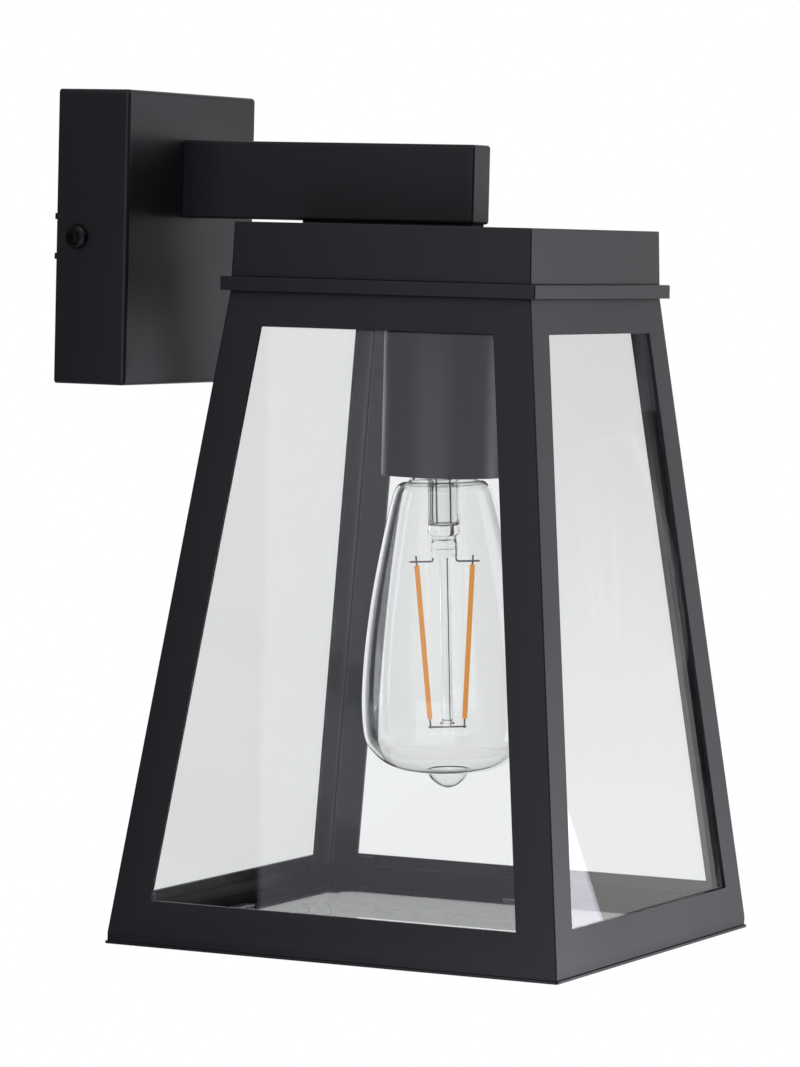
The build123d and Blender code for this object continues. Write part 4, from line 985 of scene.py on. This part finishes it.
@dataclass
class Bulb(Assembly):
    """Screw-in bulb: cap, long swelling glass, stem with its rod, and two straight filaments.

    The glass is drawn upright on its own axis, then turned so that both filaments face outwards and
    leaned on its cap. All heights run down from the neck.
    """

    neck: Point = (0.0, -140.2 * MM, -86.97 * MM)
    lean: float = math.radians(2.4)
    turn: float = math.radians(-64.6)
    radius: float = 31.9 * MM
    wall: float = 0.7 * MM
    length: float = 115.8 * MM
    tip_height: float = 5.8 * MM
    tip_radius: float = 7.9 * MM
    tube_radius: float = 5.85 * MM
    tube_wall: float = 1.1 * MM
    tube_length: float = 20.2 * MM
    press_width: float = 10.0 * MM
    press_thickness: float = 4.6 * MM
    press_length: float = 9.4 * MM
    rod_radius: float = 2.0 * MM
    rod_length: float = 92.6 * MM
    bead_radius: float = 2.7 * MM
    filament_radius: float = 0.95 * MM
    spread_top: float = 10.4 * MM
    spread_bottom: float = 6.5 * MM
    filament_drop: float = 32.4 * MM
    filament_height: float = 57.5 * MM
    lead_radius: float = 0.35 * MM
    lead_pin: float = 3.6 * MM
    lead_step: float = 1.4 * MM
    lead_beyond: float = 2.7 * MM
    lead_inset: float = 0.6 * MM
    lead_bend: float = 0.6 * MM
    inner_spread: float = 2.6 * MM
    shares: tuple[tuple[float, float], ...] = (
        (0.390, -0.035), (0.395, 0.003), (0.470, 0.009), (0.530, 0.020), (0.570, 0.038), (0.600, 0.064),
        (0.642, 0.108), (0.735, 0.221), (0.860, 0.396), (0.950, 0.569), (0.992, 0.700), (1.000, 0.787),
        (0.975, 0.874), (0.900, 0.917), (0.745, 0.961), (0.550, 0.987))
    tip_shares: tuple[tuple[float, float], ...] = (
        (1.0, 0.0), (0.80, 0.45), (0.48, 0.81), (0.19, 0.97), (0.0, 1.0))

    def build(self) -> None:
        """Dress and make the bulb's parts."""
        book = self.finishes
        self.dress_all(["bulb_cap"], book.nickel)
        self.dress_all(["bulb_insulator"], book.insulator)
        self.dress_all(["bulb_tip"], book.solder)
        self._add("bulb_envelope", self._envelope(), book.bulb_glass)
        self._add("bulb_stem", self._stem(), book.bulb_glass)
        self._add("bulb_filaments", self._filaments(), book.phosphor)
        self._add("bulb_leads", self._leads(), book.lead)

    def _add(self, node: str, mesh: bpy.types.Mesh, finish: bpy.types.Material) -> None:
        """Stand a mesh drawn on the bulb's own axis in the lantern, for one frame part.

        Args:
            node: The frame part that it stands for.
            mesh: The mesh, with its neck at the origin.
            finish: Its material.
        """
        rise = self._length_to_dome() * -self.shares[0][1]
        lean = (Matrix.Translation((0, 0, rise)) @ Matrix.Rotation(-self.lean, 4, "Y")
                @ Matrix.Translation((0, 0, -rise)))
        mesh.transform(Matrix.Translation(self.neck) @ Matrix.Rotation(self.turn, 4, "Z") @ lean)
        self.keep(add_object(f"{node}_finished", mesh, [finish]), "bulb_glassware", node)

    def _length_to_dome(self) -> float:
        """Length of the glass from the neck to where its tip starts."""
        return self.length - self.tip_height

    def _outer_lines(self) -> tuple[Outline, Outline]:
        """Points down the glass to the tip's root, and on down the tip."""
        span = self._length_to_dome()
        body = [(self.radius * share, -span * drop) for share, drop in self.shares]
        tip = [(self.tip_radius * share, -span - self.tip_height * drop) for share, drop in self.tip_shares]
        return body + [tip[0]], tip

    def _envelope(self) -> bpy.types.Mesh:
        """Spin the glass: outer skin, inner skin and the hollow drawn-off tip."""
        body, tip = self._outer_lines()
        body, tip = smooth_line(body, 9), smooth_line(tip, 7)
        inner_body, inner_tip = inset(body, self.wall), inset(tip, self.wall)
        root = (inner_tip[0][0], inner_body[-1][1])
        inner = [(body[0][0] - self.wall, body[0][1])] + inner_body[1:-2] + [root] + inner_tip[2:-1]
        inner += [(0.0, tip[-1][1] + self.wall)]
        return spun("bulb_envelope_mesh", body + tip[1:] + inner[::-1], Vector((0, 0, 0)), 144)

    def _stem(self) -> bpy.types.Mesh:
        """Make the flared tube, the pinched press, the rod and its bead."""
        top = -self._length_to_dome() * self.shares[0][1]
        tube, outer, inner = -self.tube_length, self.tube_radius, self.tube_radius - self.tube_wall
        rim = self.radius * self.shares[0][0]
        edge = rim - self.wall
        outside = smooth_line([(edge - 0.3 * MM, top), (9.0 * MM, top - 1.6 * MM),
                               (outer + 0.6 * MM, top - 4 * MM), (outer, top - 7 * MM),
                               (outer, tube + 3 * MM), (outer, tube),
                               (outer - 1.6 * MM, tube - 1.4 * MM), (0.0, tube - 1.4 * MM)], 5)
        inside = smooth_line([(0.0, tube + 2.2 * MM), (inner - 1.4 * MM, tube + 2.6 * MM),
                              (inner, tube + 4.6 * MM), (inner, top - 7 * MM),
                              (inner + 0.5 * MM, top - 4 * MM), (8.2 * MM, top - 0.8 * MM),
                              (edge - 0.9 * MM, top + 0.6 * MM)], 5)
        form = bmesh.new()
        form.from_mesh(spun("stem_tube", [(rim, top + 0.6 * MM), (rim, top)] + outside + inside,
                            Vector((0, 0, 0)), 72))
        self._press(form, tube - 1.38 * MM)
        foot, bead = -self.rod_length, self.bead_radius
        rod = [(0.0, foot), (bead * 0.7, foot)]
        rod += smooth_line([(bead * 0.7, foot), (bead, foot + 0.9 * MM), (bead * 0.8, foot + 2 * MM)], 4)[1:]
        neck = tube - self.press_length - 0.02 * MM
        rod += [(self.rod_radius, foot + 2.6 * MM), (self.rod_radius, neck), (0.0, neck)]
        form.from_mesh(spun("stem_rod", rod, Vector((0, 0, 0)), 48))
        bmesh.ops.recalc_face_normals(form, faces=form.faces)
        return mesh_from("bulb_stem_mesh", form)

    def _press(self, form: bmesh.types.BMesh, top: float) -> None:
        """Add the press: the tube's hot end squeezed flat, uneven where the tongs left it.

        Args:
            form: The bmesh to add it to.
            top: Height of its upper end.
        """
        steps, layers = 40, 14
        low = -self.tube_length - self.press_length
        rings = []
        for layer in range(layers + 1):
            share = layer / layers
            pinch = 1.0 - 0.10 * math.exp(-((share - 0.16) / 0.10) ** 2)
            width = 0.5 * self.press_width * pinch * (1.0 if 0 < layer < layers else 0.9)
            thick = 0.5 * self.press_thickness * (pinch + 0.12 * math.sin(share * 19.0))

            def edge_point(turn: float) -> Point:
                """Place one point of this layer's rounded rectangle."""
                across, deep = math.cos(turn), math.sin(turn)
                square = (abs(across) ** 5 + abs(deep) ** 5) ** 0.2
                return width * across / square, thick * deep / square, top + (low - top) * share

            rings.append(ring_of(form, steps, edge_point))
        for here, there in zip(rings, rings[1:]):
            join_rings(form, here, there)
        form.faces.new(rings[0])
        form.faces.new(rings[-1])

    def _filament_ends(self, sign: int) -> tuple[Vector, Vector]:
        """Upper and lower end of one filament."""
        top, low = -self.filament_drop, -self.filament_drop - self.filament_height
        return Vector((sign * self.spread_top, 0, top)), Vector((sign * self.spread_bottom, 0, low))

    def _filaments(self) -> bpy.types.Mesh:
        """Make the two coated strips."""
        form = bmesh.new()
        for sign in (-1, 1):
            tube(form, list(self._filament_ends(sign)), self.filament_radius, 24)
        return mesh_from("bulb_filaments_mesh", form)

    def _leads(self) -> bpy.types.Mesh:
        """Make the wires inside the stem, out of the press and across the rod's end."""
        form, radius = bmesh.new(), self.lead_radius
        press = -self.tube_length - self.press_length
        stem_top = -self._length_to_dome() * self.shares[0][1] - 1 * MM
        for sign in (-1, 1):
            upper, lower = self._filament_ends(sign)
            ward = (upper - lower).normalized() * self.lead_pin
            tube(form, [upper, upper + ward], radius, 12)
            tube(form, [lower, lower - ward], radius, 12)
            corner = Vector((sign * (self.press_width / 2 - self.lead_inset), 0, upper.z + self.lead_step))
            end = Vector((upper.x + sign * self.lead_beyond, 0, corner.z))
            bend = self.lead_bend
            tube(form, [Vector((corner.x, 0, press)), corner + Vector((0, 0, bend)),
                        corner + Vector((sign * bend * 0.3, 0, bend * 0.3)),
                        corner + Vector((sign * bend, 0, 0)), end], radius, 12)
            inner, foot = sign * self.inner_spread, -self.tube_length + 2.8 * MM
            tube(form, [Vector((inner, 0, foot)), Vector((inner, 0, stem_top))], radius, 12)
        reach, low = self.spread_bottom + self.lead_inset, -self.rod_length - radius
        tube(form, [Vector((-reach, 0, low)), Vector((reach, 0, low))], radius, 12)
        return mesh_from("bulb_leads_mesh", form)


def inset(line: Outline, distance: float) -> Outline:
    """Move a (radius, height) line towards the axis, square to itself.

    Args:
        line: The line, listed downwards.
        distance: How far to move it.

    Returns:
        The moved line.
    """
    moved: Outline = []
    for index, point in enumerate(line):
        before, after = line[max(index - 1, 0)], line[min(index + 1, len(line) - 1)]
        run = Vector((after[0] - before[0], after[1] - before[1])).normalized()
        moved.append((max(point[0] + run.y * distance, 0.0), point[1] - run.x * distance))
    return moved


def tube(form: bmesh.types.BMesh, path: Sequence[Vector], radius: float, steps: int) -> None:
    """Add a closed round tube along straight runs.

    Args:
        form: The bmesh to add it to.
        path: Points of its centre line.
        radius: Its radius.
        steps: Facets round it.
    """
    rings = []
    for index, point in enumerate(path):
        ahead = path[min(index + 1, len(path) - 1)] - path[max(index - 1, 0)]
        ahead.normalize()
        side = ahead.orthogonal().normalized() if not rings else side - ahead * side.dot(ahead)
        side.normalize()
        across = ahead.cross(side)
        rings.append(ring_of(form, steps, lambda turn: point + (side * math.cos(turn)
                                                                + across * math.sin(turn)) * radius))
    for here, there in zip(rings, rings[1:]):
        join_rings(form, here, there)
    form.faces.new(rings[0][::-1])
    form.faces.new(rings[-1])


# ---------------------------------------------------------------- studio
@dataclass(frozen=True)
class Softbox:
    """A rectangular soft light that faces the lantern."""

    name: str
    stand: Point
    width: float
    height: float
    radiance: float
    colour: Colour = (0.985, 0.985, 1.11)

    def place(self, target: Vector) -> None:
        """Hang the light.

        Args:
            target: The point that it faces.
        """
        data = bpy.data.lights.new(self.name, "AREA")
        data.shape = "RECTANGLE"
        data.size, data.size_y = self.width, self.height
        data.energy = self.radiance * math.pi * self.width * self.height
        data.color = self.colour
        light = bpy.data.objects.new(self.name, data)
        light.location = self.stand
        light.rotation_euler = (Vector(self.stand) - target).to_track_quat("Z", "Y").to_euler()
        bpy.context.scene.collection.objects.link(light)


@dataclass
class Studio:
    """White surroundings, pale floor, soft lights and the camera."""

    camera_place: Point = (-1.72019, -0.93793, 0.00451)
    camera_yaw: float = 25.36
    camera_pitch: float = -3.39
    camera_roll: float = 1.37
    camera_lens: float = 171.64
    wall_light: float = 0.01
    ceiling_light: float = 0.26
    ceiling_from: float = 0.05
    ceiling_to: float = 0.75
    glow_bearing: float = -38.0
    glow_light: float = 0.66
    glow_spread: tuple[float, float] = (0.86, 0.95)
    glow_rise: tuple[float, float] = (-0.09, -0.03)
    glow_fall: tuple[float, float] = (0.09, -0.02)
    backdrop_edge: float = 0.72
    backdrop_full: float = 0.86
    floor_height: float = -1.35
    floor_radius: float = 2.0
    target: Point = (0.0, -0.14, -0.11)

    def build(self) -> None:
        """Set up the whole studio."""
        self._camera()
        self._world()
        self._floor()
        bpy.context.scene.view_settings.view_transform = "Standard"
        for softbox in (
            Softbox("key_softbox", (0.95, -1.15, 0.25), 1.0, 1.4, 0.95),
            Softbox("low_key_softbox", (0.95, -1.15, -0.50), 1.0, 0.6, 1.75),
            Softbox("left_softbox", (-0.75, -0.12, 0.10), 0.75, 0.9, 0.56),
            Softbox("low_left_softbox", (-0.75, -0.25, -0.40), 0.75, 0.45, 0.95),
            Softbox("high_left_softbox", (-0.75, -0.25, 0.85), 0.8, 0.6, 1.2),
        ):
            softbox.place(Vector(self.target))

    def _camera(self) -> None:
        """Stand the camera and aim it."""
        yaw, pitch, roll = (math.radians(a) for a in (self.camera_yaw, self.camera_pitch, self.camera_roll))
        ahead = Vector((math.cos(pitch) * math.cos(yaw), math.cos(pitch) * math.sin(yaw), math.sin(pitch)))
        level = Vector((math.sin(yaw), -math.cos(yaw), 0.0))
        upright = level.cross(ahead)
        right = level * math.cos(roll) + upright * math.sin(roll)
        above = upright * math.cos(roll) - level * math.sin(roll)
        data = bpy.data.cameras.new("camera")
        data.lens = self.camera_lens
        data.sensor_width = 36.0
        data.clip_end = 50.0
        camera = bpy.data.objects.new("camera", data)
        turn = Matrix((right, above, -ahead)).transposed().to_4x4()
        camera.matrix_world = Matrix.Translation(Vector(self.camera_place)) @ turn
        bpy.context.scene.collection.objects.link(camera)
        bpy.context.scene.camera = camera

    def _world(self) -> None:
        """White backdrop behind the lantern, dim studio walls elsewhere, a lighter ceiling.

        What is looked at straight, or through glass alone, is always white.
        """
        world = bpy.data.worlds.new("studio")
        bpy.context.scene.world = world
        world.use_nodes = True
        graph = Graph(world.node_tree)
        place = graph.add("ShaderNodeTexCoord")
        split = graph.add("ShaderNodeSeparateXYZ")
        graph.link(place.outputs["Generated"], split.inputs["Vector"])
        ceiling = graph.add("ShaderNodeMapRange", From_Min=self.ceiling_from, From_Max=self.ceiling_to,
                            To_Min=self.wall_light, To_Max=self.ceiling_light)
        graph.link(split.outputs["Z"], ceiling.inputs["Value"])
        ahead = self._heading(graph, place.outputs["Generated"], self.camera_yaw)
        backdrop = graph.smooth(ahead, self.backdrop_edge, self.backdrop_full)
        white = graph.math("MAXIMUM", self._looked_at(graph), backdrop)
        blend = graph.add("ShaderNodeMix", data_type="RGBA")
        graph.link(white, blend.inputs[0])
        glow = self._side_glow(graph, place.outputs["Generated"], split.outputs["Z"])
        graph.link(graph.math("ADD", ceiling.outputs["Result"], glow), blend.inputs[6])
        blend.inputs[7].default_value = (1.0, 1.0, 1.0, 1.0)
        light = graph.add("ShaderNodeBackground")
        output = graph.add("ShaderNodeOutputWorld")
        graph.link(blend.outputs[2], light.inputs["Color"])
        graph.link(light.outputs["Background"], output.inputs["Surface"])

    def _looked_at(self, graph: Graph) -> Socket:
        """Tell what is looked at straight or through glass alone from what is mirrored or lit.

        Args:
            graph: The world's graph.

        Returns:
            A socket that is 1 for such rays and 0 for others.
        """
        path = graph.add("ShaderNodeLightPath")
        bounced = graph.math("ADD", path.outputs["Glossy Depth"], path.outputs["Diffuse Depth"])
        direct = graph.math("LESS_THAN", bounced, 0.5)
        looked = graph.math("MAXIMUM", path.outputs["Is Camera Ray"], path.outputs["Is Transmission Ray"])
        return graph.math("MULTIPLY", direct, looked)

    def _heading(self, graph: Graph, direction: Socket, bearing: float) -> Socket:
        """Measure how nearly a ray heads along a level bearing.

        Args:
            graph: The world's graph.
            direction: Direction of the ray.
            bearing: The bearing in degrees from +X.

        Returns:
            A socket that is 1 along the bearing and falls off round it.
        """
        turn = math.radians(bearing)
        facing = graph.add("ShaderNodeVectorMath", operation="DOT_PRODUCT")
        facing.inputs[1].default_value = (math.cos(turn), math.sin(turn), 0.0)
        graph.link(direction, facing.inputs[0])
        return facing.outputs["Value"]

    def _side_glow(self, graph: Graph, direction: Socket,
                   height: Socket) -> Socket:
        """A low bright band on the right, which the front pane mirrors towards its foot.

        Args:
            graph: The world's graph.
            direction: Direction of the ray.
            height: Its upward share.

        Returns:
            The band's light.
        """
        heading = self._heading(graph, direction, self.glow_bearing)
        around = graph.smooth(heading, *self.glow_spread)
        rise = graph.smooth(height, *self.glow_rise)
        fall = graph.smooth(height, *self.glow_fall)
        band = graph.math("MULTIPLY", around, graph.math("MULTIPLY", rise, fall))
        return graph.math("MULTIPLY", band, self.glow_light)

    def _floor(self) -> None:
        """Lay the pale round floor."""
        form = bmesh.new()
        bmesh.ops.create_circle(form, cap_ends=True, radius=self.floor_radius, segments=96)
        bmesh.ops.translate(form, verts=form.verts, vec=(self.target[0], self.target[1], self.floor_height))
        floor = add_object("floor", mesh_from("floor", form), [Solid("pale_floor", (0.82, 0.82, 0.81), 0.7,
                                                                    0.03, 40.0, 1e-5).make()])


# ---------------------------------------------------------------- main
def corners(bounds: object) -> list[list[float]]:
    """Plain numbers of a lowest and highest corner."""
    return [[float(value) for value in corner] for corner in bounds]


def main() -> None:
    """Build the studio and every sub-assembly."""
    logging.basicConfig(level=logging.INFO, format="%(message)s")
    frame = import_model()
    Studio().build()
    finishes, fasteners = FinishBook(), FastenerPattern()
    for kind in (WallPlate, Arm, GlazedBody, BaseTray, Lampholder, Bulb):
        assembly = kind(frame["nodes"], finishes, fasteners)
        assembly.build()
        log.info("%s: %d new pieces", kind.__name__, len(assembly.made))


if __name__ == "__main__":
    main()
